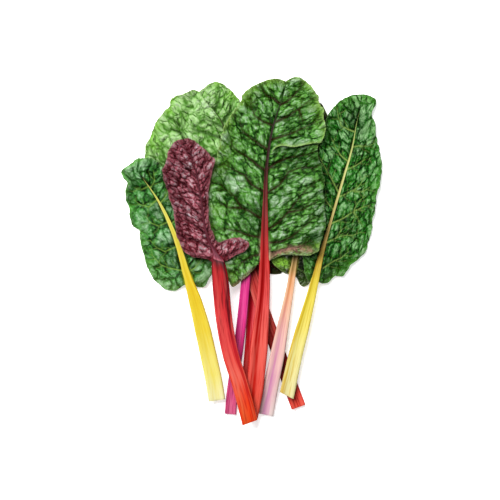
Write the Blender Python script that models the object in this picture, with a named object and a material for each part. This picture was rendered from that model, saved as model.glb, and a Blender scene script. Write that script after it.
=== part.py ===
"""A bunch of rainbow chard as picked, lying down: eight leaves fanned over each other.

Each leaf is two solids: a thick grooved stem that tapers up through the leaf as its
midrib, and the crinkled blade that grows on both sides of it. The leaves are laid down
one after another, so each drapes over the heap of those already there.

Metres, +Z up. +Y runs from the cut stem ends to the leaf tips, X across the bunch, and
Z = 0 is the surface that it lies on, with the origin under the middle of the bunch.
"""

import math

import bmesh
import bpy
import numpy as np

# Driving dimensions. The plan of each leaf below is read from the photograph, in its
# pixels, and BUNCH_LENGTH, from the lowest stem end to the highest leaf edge, scales it.
BUNCH_LENGTH = 0.381
PHOTO_HIGHEST_ROW = 77.0
PHOTO_LOWEST_ROW = 424.6
PHOTO_MIDDLE = (251.5, 251.0)
PIXEL = BUNCH_LENGTH / (PHOTO_LOWEST_ROW - PHOTO_HIGHEST_ROW)

BLADE_THICKNESS = 0.0011
STEM_DEPTH = 0.42          # a stem's depth, as a share of its width
STEM_PROUD = 0.0006        # how far the midrib's top stands over the blade
SLOT = 0.0007              # between a midrib's flank and its blade
GAP = 0.0006               # between things that lie on each other
PETIOLE_RINGS = 8          # stem sections below the blade
PUFF = 0.0030              # how far a blade swells between its side veins
VEIN_STEPS = 3             # rays of the blade from one side vein to the next
TIP_JOINT = 0.006          # the stretch below the midrib's end where the halves close in

# The heap is kept as the height of what lies there already, on a square grid.
CELL = 0.001
HEAP_HALF = (0.200, 0.240)
BLADE_BEND = 0.080         # tightest radius that a blade takes over the heap
STEM_ROUNDING = 0.030      # the stretch over which a stem bends where it lies on another

# Half of a stem's section, from the middle of its groove round to the middle of its
# underside: sideways as a share of half the width, downwards as a share of the depth.
HALF_SECTION = [
    (0.00, 0.22), (0.45, 0.10), (0.78, 0.00), (1.00, 0.28),
    (0.92, 0.62), (0.55, 0.92), (0.25, 1.00),
]

# The leaves, from the lowest to the uppermost. "stem" is the middle of stem and midrib,
# from the cut end. "widths" gives the stem's width in millimetres at rows of the
# photograph. A blade's edge runs from the stem to the tip, and each of its points says
# how far up the midrib, in per cent of the blade's length, its vein springs.
LEAVES = [
    {
        "name": "mid_red", "grid": (12, 5), "blade_from": 270, "ruffle": 0.004,
        "stem_colour": (0.72, 0.04, 0.07), "blade_colour": (0.05, 0.17, 0.04),
        "stem": [
            (245.3, 413), (247.2, 392), (249.2, 368), (251, 345), (252.3, 320),
            (253.6, 297), (255, 275), (257, 252), (259.5, 230), (262.5, 208),
            (266, 186), (270, 165), (274.5, 146), (279, 130),
        ],
        "widths": [(413, 14.6), (300, 12.6), (260, 10), (210, 6.5), (160, 4), (130, 2.2)],
        "left": [
            (248, 269, 0), (240, 260, 4), (233, 246, 9), (230, 230, 15), (230, 213, 23),
            (232, 195, 32), (236, 177, 42), (242, 160, 52), (250, 144, 64),
            (259, 131, 77), (270, 122, 91), (281, 119, 100),
        ],
        "right": [
            (263, 271, 0), (273, 274, 2), (282, 272.5, 3.5), (288, 267, 5), (291, 258, 8),
            (293, 245, 13), (296, 229, 20), (300, 211, 28), (303, 192, 38),
            (304, 173, 49), (303, 156, 60), (299, 141, 73), (292, 128, 87), (281, 119, 100),
        ],
    },
    {
        "name": "pale_back", "grid": (21, 9), "blade_from": 268, "ruffle": 0.008,
        "stem_colour": (0.62, 0.03, 0.04), "blade_colour": (0.20, 0.42, 0.12),
        "stem": [
            (298.5, 407), (291.5, 388), (284.5, 369), (277.5, 350), (270.5, 330.5),
            (263, 309.5), (256.5, 290), (250.5, 268), (245, 243), (241, 218),
            (237.5, 193), (234, 170), (230, 148), (225, 129.5), (217.5, 115),
            (208, 106), (201, 101),
        ],
        "widths": [(407, 16.3), (310, 14.3), (285, 13.2), (240, 9), (190, 6), (140, 4), (101, 2.2)],
        "left": [
            (240, 267, 0), (226, 259, 2), (212, 253, 4), (196, 245, 6), (180, 233, 8),
            (166, 218, 10), (154, 200, 13), (148, 182, 16), (144.5, 168, 18.5),
            (145, 156, 21), (147, 145, 24), (151.5, 133, 27), (157, 121, 30),
            (164, 112.5, 33), (169.5, 106, 36), (171, 100, 38), (177, 96, 43),
            (183, 94.5, 50), (188, 91.5, 60), (194, 90, 80), (199.5, 91.5, 100),
        ],
        "right": [
            (258, 265, 0), (261, 252, 3), (262, 238, 7), (262, 220, 13), (260, 200, 20),
            (257, 180, 27), (254, 160, 35), (251, 142, 42), (248, 127, 49), (245, 114, 57),
            (241, 104, 65), (236, 96.5, 72), (231, 90.5, 78), (224, 85, 84), (217, 82, 89),
            (210, 83.5, 93), (204.5, 88, 97), (199.5, 91.5, 100),
        ],
    },
    {
        "name": "magenta", "grid": (12, 5), "blade_from": 268, "ruffle": 0.004,
        "stem_colour": (0.85, 0.05, 0.26), "blade_colour": (0.05, 0.17, 0.04),
        "stem": [
            (230.5, 414), (232, 395), (235, 370), (238.5, 347), (241.3, 325),
            (243.8, 300), (245.5, 283), (247.5, 265), (250, 243), (253, 220),
            (256, 197), (259.5, 175), (263, 155), (267, 136), (271, 120),
        ],
        "widths": [(414, 13.0), (340, 11), (280, 10), (240, 7), (180, 4.5), (120, 2.2)],
        "left": [
            (240, 267, 0), (234, 259, 3), (227, 247, 8), (221, 232, 15), (218.5, 215, 23),
            (219, 197, 31), (222, 178, 40), (227, 160, 49), (234, 143, 59),
            (243, 128, 70), (253, 116, 82), (263, 108.5, 93), (273.5, 108, 100),
        ],
        "right": [
            (254, 266, 0), (264, 255, 5), (272, 243, 10), (280, 228, 17), (286, 211, 25),
            (290, 193, 34), (292, 174, 44), (292, 156, 54), (290, 140, 65),
            (286, 126, 76), (281, 115, 88), (273.5, 108, 100),
        ],
    },
    {
        "name": "pink", "grid": (15, 7), "blade_from": 275, "ruffle": 0.006,
        "stem_colour": (0.90, 0.42, 0.42), "blade_colour": (0.05, 0.22, 0.05),
        "stem": [
            (265.5, 414.5), (269, 395), (272.5, 377), (276.5, 358.5), (280, 340),
            (283.5, 322), (287, 304), (290, 288), (292.5, 272), (295.5, 255),
            (299, 235), (303, 212), (307, 190), (311, 167), (315, 145), (318, 128),
            (320, 116),
        ],
        "widths": [(414.5, 17.6), (350, 15.4), (300, 10), (275, 7.7), (230, 5.5), (180, 4), (116, 2.2)],
        "left": [
            (286.5, 274, 0), (277, 267, 2), (271.5, 261, 3.5), (268.5, 250, 6), (269, 234, 10),
            (273, 214, 16), (279, 192, 24), (286, 170, 33), (293, 149, 43),
            (300, 130, 54), (305, 116, 66), (311, 106, 80), (316, 102.5, 92), (321, 103.5, 100),
        ],
        "right": [
            (297.5, 279, 0), (303, 287, 2), (308, 284.5, 4), (311.5, 278, 6), (314, 268, 9),
            (319, 252, 14), (324, 232, 21), (328, 210, 30), (331, 188, 39),
            (332, 166, 50), (331, 147, 61), (329.5, 132, 72), (328, 120, 82),
            (326, 111, 92), (321, 103.5, 100),
        ],
    },
    {
        "name": "yellow_left", "grid": (21, 8), "blade_from": 283, "ruffle": 0.008,
        "stem_colour": (0.95, 0.68, 0.06), "blade_colour": (0.04, 0.20, 0.05),
        "stem": [
            (217, 400), (214, 381), (209, 357), (203.5, 332), (198.5, 312),
            (193.5, 294.5), (187.5, 276.5), (182.7, 260), (178.5, 245.7), (173, 231),
            (165.5, 214), (158, 200), (150, 188), (142.5, 177.5),
        ],
        "widths": [(400, 18.7), (330, 17.6), (300, 14.3), (280, 11), (250, 6.6), (220, 5), (178, 2.2)],
        "left": [
            (182.5, 286, 0), (176, 290.5, 1), (166, 289, 2.5), (156, 281, 4.5), (148, 269, 8),
            (144, 254, 14), (140.5, 240, 21), (137.5, 227, 28), (131.5, 216, 35),
            (126.5, 203, 44), (126.5, 187, 56), (121.5, 174, 72), (125, 168, 86),
            (130, 164.5, 100),
        ],
        "right": [
            (197, 287, 0), (203, 287, 1.5), (209, 279, 4), (211.5, 266, 9), (211, 254, 16),
            (207, 238, 26), (201, 222, 37), (193, 207, 47), (184, 193, 57), (175, 180, 67),
            (163, 168, 78), (156, 161, 86), (148, 158.5, 92), (138, 159.5, 97), (130, 164.5, 100),
        ],
    },
    {
        "name": "yellow_right", "grid": (24, 8), "blade_from": 281, "ruffle": 0.008,
        "cut_skew": -0.27,
        "stem_colour": (0.93, 0.60, 0.08), "blade_colour": (0.04, 0.20, 0.05),
        "stem": [
            (286.5, 395), (291, 374), (295.5, 354), (300.5, 334.5), (305.5, 316),
            (310.5, 297), (314.5, 281), (318.5, 264), (322.5, 249), (327, 233.5),
            (331.5, 218.5), (336, 203), (340.5, 188), (345.5, 171), (350, 156),
            (353.5, 141), (356, 126), (359.5, 111),
        ],
        "widths": [(395, 16.5), (330, 14.7), (290, 10), (250, 6.6), (200, 4.4), (150, 3.2), (111, 2.2)],
        "left": [
            (308.5, 281, 0), (305, 271, 3.5), (303, 258, 7), (301, 243, 11), (299, 226, 16),
            (298.5, 208, 22), (299.5, 190, 29), (304, 172, 37), (311, 156, 46),
            (319, 143, 54), (324, 130, 61), (326, 119, 66), (330, 111.5, 71),
            (337, 104, 79), (345, 98.5, 86), (353, 95.5, 93), (361, 94.5, 100),
        ],
        "right": [
            (320.5, 283, 0), (327, 282.5, 1), (333, 277.5, 2), (337.5, 274, 3), (342, 276, 4),
            (347, 270, 5), (350, 265, 6), (358, 259, 7), (364.5, 253, 9), (368, 243, 13),
            (371.5, 229, 20), (373.5, 214, 27), (376, 199, 34), (376.5, 191.5, 38),
            (380, 184, 43), (380.5, 173, 49), (381.5, 165, 53), (379.5, 151, 60),
            (376, 137.5, 67), (374.5, 124, 74), (371.5, 112, 81), (375.5, 103, 87),
            (374.5, 98, 91), (369, 95.5, 95), (361, 94.5, 100),
        ],
    },
    {
        "name": "centre", "grid": (24, 9), "blade_from": 262, "ruffle": 0.009,
        "pleat": ("right", 0.665, 0.006),
        "stem_colour": (0.75, 0.04, 0.03), "blade_colour": (0.09, 0.28, 0.06),
        "stem": [
            (252, 417), (254.5, 392), (257.5, 362), (260, 335), (262.5, 308), (264, 285),
            (264.5, 262), (264.5, 240), (264.8, 218), (265.3, 196), (266, 175),
            (268, 155), (271, 136), (276, 117), (281, 102), (284.5, 90),
        ],
        "widths": [
            (417, 18.7), (347, 19.5), (300, 14.3), (250, 10.3), (200, 8.8), (160, 6),
            (120, 4.2), (90, 2.2),
        ],
        "left": [
            (257.5, 264, 0), (250, 272.5, 1.5), (241, 281, 3), (232, 287, 4.5), (229, 276, 6),
            (229, 263, 8), (221, 252, 11), (213, 243, 14), (209.5, 230, 17),
            (208, 215, 20), (207.5, 200, 23), (209, 184, 26.5), (212, 173, 30),
            (214.5, 164, 34), (218, 153, 41), (222, 138, 50), (226, 125, 57),
            (231, 115, 62), (239, 105, 68), (245, 93, 75), (256, 85.5, 84),
            (266, 81, 90), (276, 79, 95.5), (285.5, 81.5, 100),
        ],
        "right": [
            (271.5, 259, 0), (279, 255.5, 1.5), (288, 253.5, 2.5), (298, 253.5, 3.5),
            (309, 255, 4.5), (317, 251, 5.5), (319.5, 244, 6.5), (322.5, 236, 8),
            (325, 226, 10), (325, 214, 13), (323.5, 200, 17), (325.5, 186, 24),
            (326.5, 174, 33), (322, 162, 46), (318, 152, 56), (317, 146.5, 59.5),
            (321.5, 142, 61.5), (324.5, 133, 64), (324.5, 124, 67), (322.5, 113, 70.5),
            (319, 102, 74), (313.5, 90, 79), (308.5, 85, 83), (303, 79.5, 87.5),
            (297, 77, 91.5), (291, 78.5, 95.5), (285.5, 81.5, 100),
        ],
    },
    {
        "name": "purple", "grid": (21, 7), "blade_from": 264, "ruffle": 0.009,
        "cut_skew": 0.12,
        "stem_colour": (0.80, 0.07, 0.06), "blade_colour": (0.16, 0.02, 0.06),
        "stem": [
            (250, 421.5), (245.5, 403), (238.5, 378), (231.5, 356), (226.5, 333),
            (223.5, 312), (221.5, 290), (220, 274), (218, 262), (214.5, 251),
            (209.5, 241), (205.8, 230), (203.6, 218), (202, 205), (200, 192),
            (197.5, 178), (194.5, 166), (191, 155), (187.5, 147),
        ],
        "widths": [
            (421.5, 17.6), (290, 17), (274, 15), (262, 10), (251, 5.5), (230, 4), (190, 3),
            (147, 2.2),
        ],
        "left": [
            (208.5, 259, 0), (201, 256.5, 1.5), (194, 257, 3), (187, 253.5, 5), (180, 242, 10),
            (176, 228, 17), (174.5, 212, 26), (170, 199, 35), (167, 187, 44),
            (163.5, 173, 54), (167, 160, 65), (171, 148.5, 76), (178, 141, 88),
            (186, 138.5, 100),
        ],
        "right": [
            (226.5, 261, 0), (236, 254.5, 2), (246, 250, 4), (249, 244.5, 6), (243, 239, 8),
            (234, 238, 10), (226, 240.5, 12), (219, 242.5, 14), (214.5, 237, 18),
            (211, 230, 24), (209, 221, 31), (208.5, 210, 38), (208, 198, 46),
            (209.5, 184, 54), (212, 172, 61), (214.3, 160, 69), (209, 153.5, 78),
            (203, 149, 85), (196, 143, 92), (191, 139.5, 97), (186, 138.5, 100),
        ],
    },
]


def plan(points):
    """Photo pixels as metres across and along the bunch; a third column is kept."""
    points = np.array(points, float)
    points[:, 0] = (points[:, 0] - PHOTO_MIDDLE[0]) * PIXEL
    points[:, 1] = (PHOTO_MIDDLE[1] - points[:, 1]) * PIXEL
    return points


def lengths(points):
    """How far along a line each of its points is."""
    steps = np.linalg.norm(np.diff(points[:, :2], axis=0), axis=1)
    return np.concatenate(([0.0], np.cumsum(steps)))


def smooth_line(points, samples=12):
    """A smooth curve through the points, as many short straight pieces."""
    at = lengths(points)
    slopes = np.gradient(points, at, axis=0)
    run = [points[:1]]
    t = np.linspace(0, 1, samples + 1)[1:, None]
    for k in range(len(points) - 1):
        step = at[k + 1] - at[k]
        run.append(
            (2 * t**3 - 3 * t**2 + 1) * points[k] + (t**3 - 2 * t**2 + t) * step * slopes[k]
            + (3 * t**2 - 2 * t**3) * points[k + 1] + (t**3 - t**2) * step * slopes[k + 1]
        )
    return np.vstack(run)


def read_line(line, at, where):
    """The points of a line at the given places, in the measure that `at` gives it."""
    return np.stack([np.interp(where, at, column) for column in line.T], axis=-1)


class Heap:
    """How high the leaves lie so far, on a grid of cells."""

    def __init__(self):
        self.shape = tuple(int(2 * half / CELL) + 1 for half in HEAP_HALF)
        self.height = np.zeros(self.shape)

    def cells(self, x, y):
        return (x + HEAP_HALF[0]) / CELL, (y + HEAP_HALF[1]) / CELL

    def add(self, corners):
        """Lay down triangles, an array of their corners, as the cells' new heights."""
        samples = int(np.linalg.norm(corners - np.roll(corners, 1, 1), axis=2).max() / CELL) + 1
        i, j = np.meshgrid(range(samples + 1), range(samples + 1))
        inside = i + j <= samples
        a, b = i[inside] / samples, j[inside] / samples
        weights = np.stack([a, b, 1 - a - b], axis=1)
        spots = np.einsum("sk,tkd->tsd", weights, corners).reshape(-1, 3)
        column, row = (np.rint(c).astype(int) for c in self.cells(spots[:, 0], spots[:, 1]))
        fresh = np.zeros(self.shape)
        np.maximum.at(fresh, (column, row), spots[:, 2])
        self.height = np.maximum(self.height, spread(fresh, CELL, None))

    def draped(self, radius):
        """The heap as a sheet sees it that bends no tighter than the radius."""
        return spread(self.height, radius * 1.2, radius)


def spread(height, reach, radius):
    """The highest of the cells within reach, each sinking away as a ball would."""
    for axis in (0, 1):
        result = height
        for k in range(1, int(round(reach / CELL)) + 1):
            drop = 0.0 if radius is None else (k * CELL) ** 2 / (2 * radius)
            for way in (k, -k):
                result = np.maximum(result, np.roll(height, way, axis) - drop)
        height = result
    return height


def read_grid(grid, x, y):
    """The grid's height at plan points, between the four nearest cells."""
    u = np.clip((x + HEAP_HALF[0]) / CELL, 0, grid.shape[0] - 1.001)
    v = np.clip((y + HEAP_HALF[1]) / CELL, 0, grid.shape[1] - 1.001)
    i, j = u.astype(int), v.astype(int)
    s, t = u - i, v - j
    low = grid[i, j] * (1 - s) + grid[i + 1, j] * s
    high = grid[i, j + 1] * (1 - s) + grid[i + 1, j + 1] * s
    return low * (1 - t) + high * t


def with_gap(height):
    """Just clear of what lies below, but down on the bare surface itself."""
    return height + GAP * np.clip(height / 0.001, 0, 1)


def stem_profile(places, needed):
    """The height of a stiff stem that lies on all that needs it to be so high."""
    reach = int(STEM_ROUNDING / 2 / (places[1] - places[0]))
    near = np.abs(places[:, None] - places[None, :]) < STEM_ROUNDING / 2
    needed = np.where(near, needed[None, :], 0).max(axis=1)
    hull = []
    for point in zip(places, needed):
        while len(hull) > 1:
            (x0, z0), (x1, z1) = hull[-2:]
            if (z1 - z0) * (point[0] - x0) > (point[1] - z0) * (x1 - x0):
                break
            hull.pop()
        hull.append(point)
    straight = np.interp(places, *np.array(hull).T)
    before = straight[0] - (straight[1] - straight[0]) * np.arange(reach, 0, -1)
    beyond = straight[-1] + (straight[-1] - straight[-2]) * np.arange(1, reach + 1)
    padded = np.concatenate([before, straight, beyond])
    return np.convolve(padded, np.full(2 * reach + 1, 1 / (2 * reach + 1)), mode="valid")


class Midrib:
    """One leaf's stem: its middle line, width and height at any distance from the cut."""

    def __init__(self, leaf):
        self.line = smooth_line(plan(leaf["stem"]))
        self.at = lengths(self.line)
        self.length = self.at[-1]
        rows = PHOTO_MIDDLE[1] - self.line[:, 1] / PIXEL
        self.blade_from = np.interp(-leaf["blade_from"], -rows, self.at)
        widths = np.array(leaf["widths"][::-1], float)
        self.width_here = np.interp(rows, widths[:, 0], widths[:, 1]) / 1000

    def width(self, at):
        return np.interp(at, self.at, self.width_here)

    def middle(self, at):
        return read_line(self.line, self.at, at)

    def across(self, at):
        """Unit vectors to the stem's right, seen from above with the tip ahead."""
        step = self.middle(np.minimum(at + 0.003, self.length)) - self.middle(np.maximum(at - 0.003, 0))
        step /= np.linalg.norm(step, axis=1)[:, None]
        return np.stack([step[:, 1], -step[:, 0]], axis=1)

    def lie(self, rings, heap, draped):
        """Settle the stem, straight from ring to ring, on the heap. Its blade's own level
        has to clear it too."""
        places = np.linspace(0, self.length, 180)
        middle = read_line(self.middle(rings), rings, places)
        across = read_line(self.across(rings), rings, places)
        width = np.interp(places, rings, self.width(rings))
        under = np.zeros(len(places))
        over = np.zeros(len(places))
        low_side = np.array(HALF_SECTION[:2:-1])
        for share in np.linspace(-1, 1, 21):
            spot = middle + across * (width * share / 2)[:, None]
            deep = np.interp(abs(share) - 0.1, low_side[:, 0], low_side[:, 1])
            clear = with_gap(read_grid(heap.height, spot[:, 0], spot[:, 1]))
            clear = clear - (1 - deep) * width * STEM_DEPTH
            under = np.maximum(under, clear)
            over = np.maximum(over, read_grid(draped, spot[:, 0], spot[:, 1]))
        sunk = np.maximum(STEM_PROUD + BLADE_THICKNESS - width * STEM_DEPTH, 0)
        blade = np.where(places > self.blade_from - 0.01, with_gap(over) + sunk, 0)
        needed = np.maximum(under, blade)
        height = np.interp(rings, places, stem_profile(places, needed))
        short = needed - np.interp(places, rings, height)
        for k in range(len(rings)):
            near = np.abs(np.interp(places, rings, np.arange(len(rings))) - k) < 1
            height[k] += max(short[near].max(), 0)
        self.rings = rings
        self.under = height

    def underside(self, at):
        return np.interp(at, self.rings, self.under)

    def blade_level(self, at):
        """The height of the blade's underside where it meets the midrib."""
        return self.underside(at) + self.width(at) * STEM_DEPTH - STEM_PROUD - BLADE_THICKNESS


def material(name, colour, roughness):
    made = bpy.data.materials.new(name)
    made.use_nodes = True
    surface = made.node_tree.nodes["Principled BSDF"]
    surface.inputs["Base Color"].default_value = (*colour, 1)
    surface.inputs["Roughness"].default_value = roughness
    surface.inputs["Metallic"].default_value = 0.0
    made.diffuse_color = (*colour, 1)
    return made


def finish(name, shape, surface, crown, parent, heap):
    """Make the object, with its origin where the blade starts, and add it to the heap."""
    bmesh.ops.recalc_face_normals(shape, faces=shape.faces)
    corners = np.array([
        [loop.vert.co[:] for loop in corner] for corner in shape.calc_loop_triangles()
    ])
    heap.add(corners)
    bmesh.ops.translate(shape, verts=shape.verts, vec=(-crown[0], -crown[1], 0))
    mesh = bpy.data.meshes.new(name)
    shape.to_mesh(mesh)
    shape.free()
    mesh.materials.append(surface)
    mesh.shade_smooth()
    mesh.set_sharp_from_angle(angle=math.radians(50))
    made = bpy.data.objects.new(name, mesh)
    made.location = (crown[0], crown[1], 0)
    made.parent = parent
    bpy.context.collection.objects.link(made)
    return made


def stem_shape(midrib, rings_at, cut_skew):
    """The grooved stem, section by section; the groove runs out towards the tip."""
    half = HALF_SECTION[1:]
    section = np.array([(-x, z) for x, z in half[::-1]] + [HALF_SECTION[0]] + half)
    shape = bmesh.new()
    middle, across = midrib.middle(rings_at), midrib.across(rings_at)
    under, width = midrib.underside(rings_at), midrib.width(rings_at)
    loops = []
    for k, at in enumerate(rings_at):
        groove = 1.0 if at < midrib.blade_from else 0.4
        deep = np.where(np.abs(section[:, 0]) < 0.7, section[:, 1] * groove, section[:, 1])
        side = section[:, 0] * width[k] / 2
        along = cut_skew * side if k == 0 else 0 * side
        ahead = np.array([-across[k][1], across[k][0]])
        spot = middle[k] + side[:, None] * across[k] + along[:, None] * ahead
        high = under[k] + (1 - deep) * width[k] * STEM_DEPTH
        loops.append([shape.verts.new((x, y, z)) for (x, y), z in zip(spot, high)])
    for low, high in zip(loops, loops[1:]):
        for k in range(len(low)):
            shape.faces.new((low[k - 1], low[k], high[k], high[k - 1]))
    shape.faces.new(loops[0])
    shape.faces.new(loops[-1])
    return shape


def rays(edge, midrib, count):
    """Where a blade's rays start on the midrib and where they end on its edge.

    Both the way along the edge and the way up the midrib set how the rays spread."""
    line = smooth_line(plan(edge))
    at = lengths(line) / lengths(line)[-1]
    foot = np.maximum.accumulate(np.clip(line[:, 2] / 100, 0, 1))
    mixed = 0.6 * at + 0.4 * foot
    where = np.linspace(0, mixed[-1], count + 1)
    ends = read_line(line[:, :2], mixed, where)
    feet = np.interp(where, mixed, foot)
    starts = midrib.blade_from + feet * (midrib.length - midrib.blade_from)
    starts[-2] = max(starts[-2], midrib.length - TIP_JOINT)
    return starts, ends


def blade_side(leaf, side, midrib, starts, ends, stem_rings, draped):
    """The points of half a blade, ray by ray from its base to its tip."""
    count, across_count = leaf["grid"]
    sign = -1 if side == "left" else 1
    offset = midrib.width(stem_rings) / 2 + SLOT
    flank = midrib.middle(stem_rings) + sign * offset[:, None] * midrib.across(stem_rings)
    flank = np.vstack([flank, midrib.middle(np.array([midrib.length]))])
    flank_at = np.concatenate([stem_rings, [midrib.length]])
    root = read_line(flank, flank_at, starts)
    t = np.linspace(0, 1, count + 1)[:, None]
    r = np.linspace(0, 1, across_count + 1)[None, :]
    spot = root[:, None, :] * (1 - r[..., None]) + ends[:, None, :] * r[..., None]
    rest = with_gap(read_grid(draped, spot[..., 0], spot[..., 1]))
    rib = np.interp(starts, flank_at, np.append(midrib.blade_level(stem_rings),
                                                midrib.blade_level(midrib.length)))
    lift = rib[:, None] - rest[:, :1]
    fall = (1 - r**1.5) ** 2
    vein = np.abs(np.sin(math.pi * t * count / VEIN_STEPS))
    puff = PUFF * vein * np.sin(math.pi * r**0.7) ** 0.8
    turns = 2.5 * 2 * math.pi
    wave = leaf["ruffle"] * r**3 * (0.5 + 0.5 * np.sin(turns * t + 1.5 * sign + len(leaf["name"])))
    wave = wave * np.sin(math.pi * t) ** 0.5
    high = rest + lift * fall + puff + wave
    if "pleat" in leaf and leaf["pleat"][0] == side:
        start, height = leaf["pleat"][1:]
        past = np.clip((t - start) / 0.04, 0, 1) * np.clip(1 - (t - start) / 0.2, 0, 1)
        high = high + height * past * r**0.8
    return np.concatenate([spot, high[..., None]], axis=2)


def blade_shape(leaf, midrib, stem_rings, starts, ends, draped):
    """A blade: its two halves, joined past the midrib's end, and given their thickness."""
    shape = bmesh.new()
    count, across_count = leaf["grid"]
    tip = None
    for side in ("left", "right"):
        points = blade_side(leaf, side, midrib, starts[side], ends[side], stem_rings, draped)
        grid = [[shape.verts.new(p) for p in ray] for ray in points[:-1]]
        tip = tip or [shape.verts.new(p) for p in points[-1]]
        grid.append(tip)
        for k in range(count):
            for n in range(across_count):
                a, b = grid[k][n], grid[k][n + 1]
                c, d = grid[k + 1][n + 1], grid[k + 1][n]
                pair = [(a, b, c), (a, c, d)] if (k + n) % 2 else [(a, b, d), (b, c, d)]
                for corners in pair:
                    shape.faces.new(corners if side == "right" else corners[::-1])
    made = bmesh.ops.extrude_face_region(shape, geom=shape.faces[:], use_keep_orig=True)
    top = [item for item in made["geom"] if isinstance(item, bmesh.types.BMVert)]
    bmesh.ops.translate(shape, verts=top, vec=(0, 0, BLADE_THICKNESS))
    return shape


def lay_leaf(leaf, parent, heap):
    """One leaf: its stem and its blade, on what lies there already."""
    draped = heap.draped(BLADE_BEND)
    midrib = Midrib(leaf)
    count = leaf["grid"][0]
    starts, ends = {}, {}
    for side in ("left", "right"):
        starts[side], ends[side] = rays(leaf[side], midrib, count)
    stem_end = min(starts["left"][-2], starts["right"][-2]) - 0.001
    stem_rings = np.concatenate([
        np.linspace(0, midrib.blade_from, PETIOLE_RINGS)[:-1],
        np.linspace(midrib.blade_from, stem_end, count // VEIN_STEPS + 1),
    ])
    midrib.lie(stem_rings, heap, draped)
    crown = midrib.middle(midrib.blade_from)
    stem = stem_shape(midrib, stem_rings, leaf.get("cut_skew", 0.0))
    blade = blade_shape(leaf, midrib, stem_rings, starts, ends, draped)
    finish(leaf["name"] + "_stem", stem, material(leaf["name"] + " stem", leaf["stem_colour"], 0.35),
           crown, parent, heap)
    finish(leaf["name"] + "_blade", blade, material(leaf["name"] + " blade", leaf["blade_colour"], 0.45),
           crown, parent, heap)


for old in list(bpy.data.objects):
    bpy.data.objects.remove(old)
bunch = bpy.data.objects.new("swiss_chard_bunch", None)
bpy.context.collection.objects.link(bunch)
heap = Heap()
for leaf in LEAVES:
    lay_leaf(leaf, bunch, heap)
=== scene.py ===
"""The looks of a bunch of rainbow chard, freshly cut and laid down flat.

Eight leaves lie over each other in a fan. They are laid down here from the lowest to the
uppermost, so that each one drapes over those before it, in the same places as the solids
that they stand for. Metres, +Z up, +Y from the cut stem ends to the leaf tips.
"""

import math

import bpy
import numpy as np
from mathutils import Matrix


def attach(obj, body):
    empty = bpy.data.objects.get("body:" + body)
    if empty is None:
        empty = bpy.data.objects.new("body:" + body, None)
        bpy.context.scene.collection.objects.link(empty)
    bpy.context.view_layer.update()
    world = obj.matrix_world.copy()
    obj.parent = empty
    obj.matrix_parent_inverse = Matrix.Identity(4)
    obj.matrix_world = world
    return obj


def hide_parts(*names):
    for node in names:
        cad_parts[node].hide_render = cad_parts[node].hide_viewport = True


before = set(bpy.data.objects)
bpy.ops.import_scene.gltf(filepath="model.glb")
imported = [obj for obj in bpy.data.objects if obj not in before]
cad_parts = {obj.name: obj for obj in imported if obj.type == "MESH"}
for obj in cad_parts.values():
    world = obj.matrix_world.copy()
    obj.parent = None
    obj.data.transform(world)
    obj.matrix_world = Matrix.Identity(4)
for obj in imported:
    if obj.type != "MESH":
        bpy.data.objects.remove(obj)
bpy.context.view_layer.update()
bpy.ops.object.select_all(action="DESELECT")


# The lowest leaf, a red one: a fleshy grooved stem that narrows up through the leaf as its
# midrib, and the blade that grows from both its sides. It lies flat on the table, and only
# its stem shows. The way to lay down a leaf is worked out here, for all of the eight.

# The leaves' plans are drawn in the pixels of the photograph, and the bunch's length, from
# the lowest cut end to the highest leaf edge, gives them their scale.
BUNCH_LENGTH = 0.381
HIGHEST_ROW, LOWEST_ROW = 77.0, 424.6
BUNCH_MIDDLE = (251.5, 251.0)
PIXEL = BUNCH_LENGTH / (LOWEST_ROW - HIGHEST_ROW)

BLADE_THICKNESS = 0.0006
STEM_DEPTH = 0.42          # a stem's depth, as a share of its width
STEM_PROUD = 0.0004        # how far a midrib's top stands over its blade
GAP = 0.0003               # between things that lie on each other
RING_STEP = 0.0024         # between a stem's sections
BLADE_BEND = 0.055         # the tightest radius that a blade takes over the heap
STEM_ROUNDING = 0.030      # the stretch over which a stem bends where it lies on another
CELL = 0.001               # of the grid that keeps the height of the heap
PRESS_REACH = 7            # cells over which a leaf flattens out under the ones on it
HEAP_HALF = (0.200, 0.240)  # half the grid's width and length
HEAP_CELLS = tuple(int(2 * half / CELL) + 1 for half in HEAP_HALF)
BLADE_FOOT = 0.36          # where a blade starts under its midrib, as a share of the width
FRILLS = ((0.0007, 0.014, 0), (0.0004, 0.006, 3))   # of an edge: depth, wavelength and seed
TIP_TAPER = 0.045          # the stretch over which a midrib runs out at the leaf's tip
SECTION_POINTS = 44        # round a stem
CUT_BEVEL = 0.0004         # of the skin round a cut end

# How far from it each of these fades away: the hollows along side veins, midribs and twigs,
# which are sunk and also painted in shade, the flat beside a vein, the thin rim, the margin,
# and the selvedge along a midrib.
VEIN_HOLLOW, RIB_HOLLOW, TWIG_HOLLOW, PILLOW = 0.0024, 0.0020, 0.0015, 0.0045
RIM, MARGIN, SELVEDGE = 0.0018, 0.012, 0.0014
TWIG_STEP = 0.0055         # between the small veins along a side vein
SMALL_CELL = 0.42          # the size of the small puffed cells in the large ones
CHANCE_CELLS = 400         # puffed cells drawn by chance each way, more than a blade holds

# Half of a stem's section, from the middle of its groove round to the middle of its
# underside: sideways as a share of half the width, downwards as a share of the depth.
HALF_SECTION = [
    (0.00, 0.24), (0.28, 0.19), (0.55, 0.05), (0.78, 0.00), (0.95, 0.12), (1.00, 0.32),
    (0.92, 0.62), (0.72, 0.82), (0.45, 0.95), (0.20, 1.00),
]


def plan(points):
    """Pixels of the photograph as metres across and along the bunch."""
    points = np.array(points, float)
    points[:, 0] = (points[:, 0] - BUNCH_MIDDLE[0]) * PIXEL
    points[:, 1] = (BUNCH_MIDDLE[1] - points[:, 1]) * PIXEL
    return points


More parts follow.
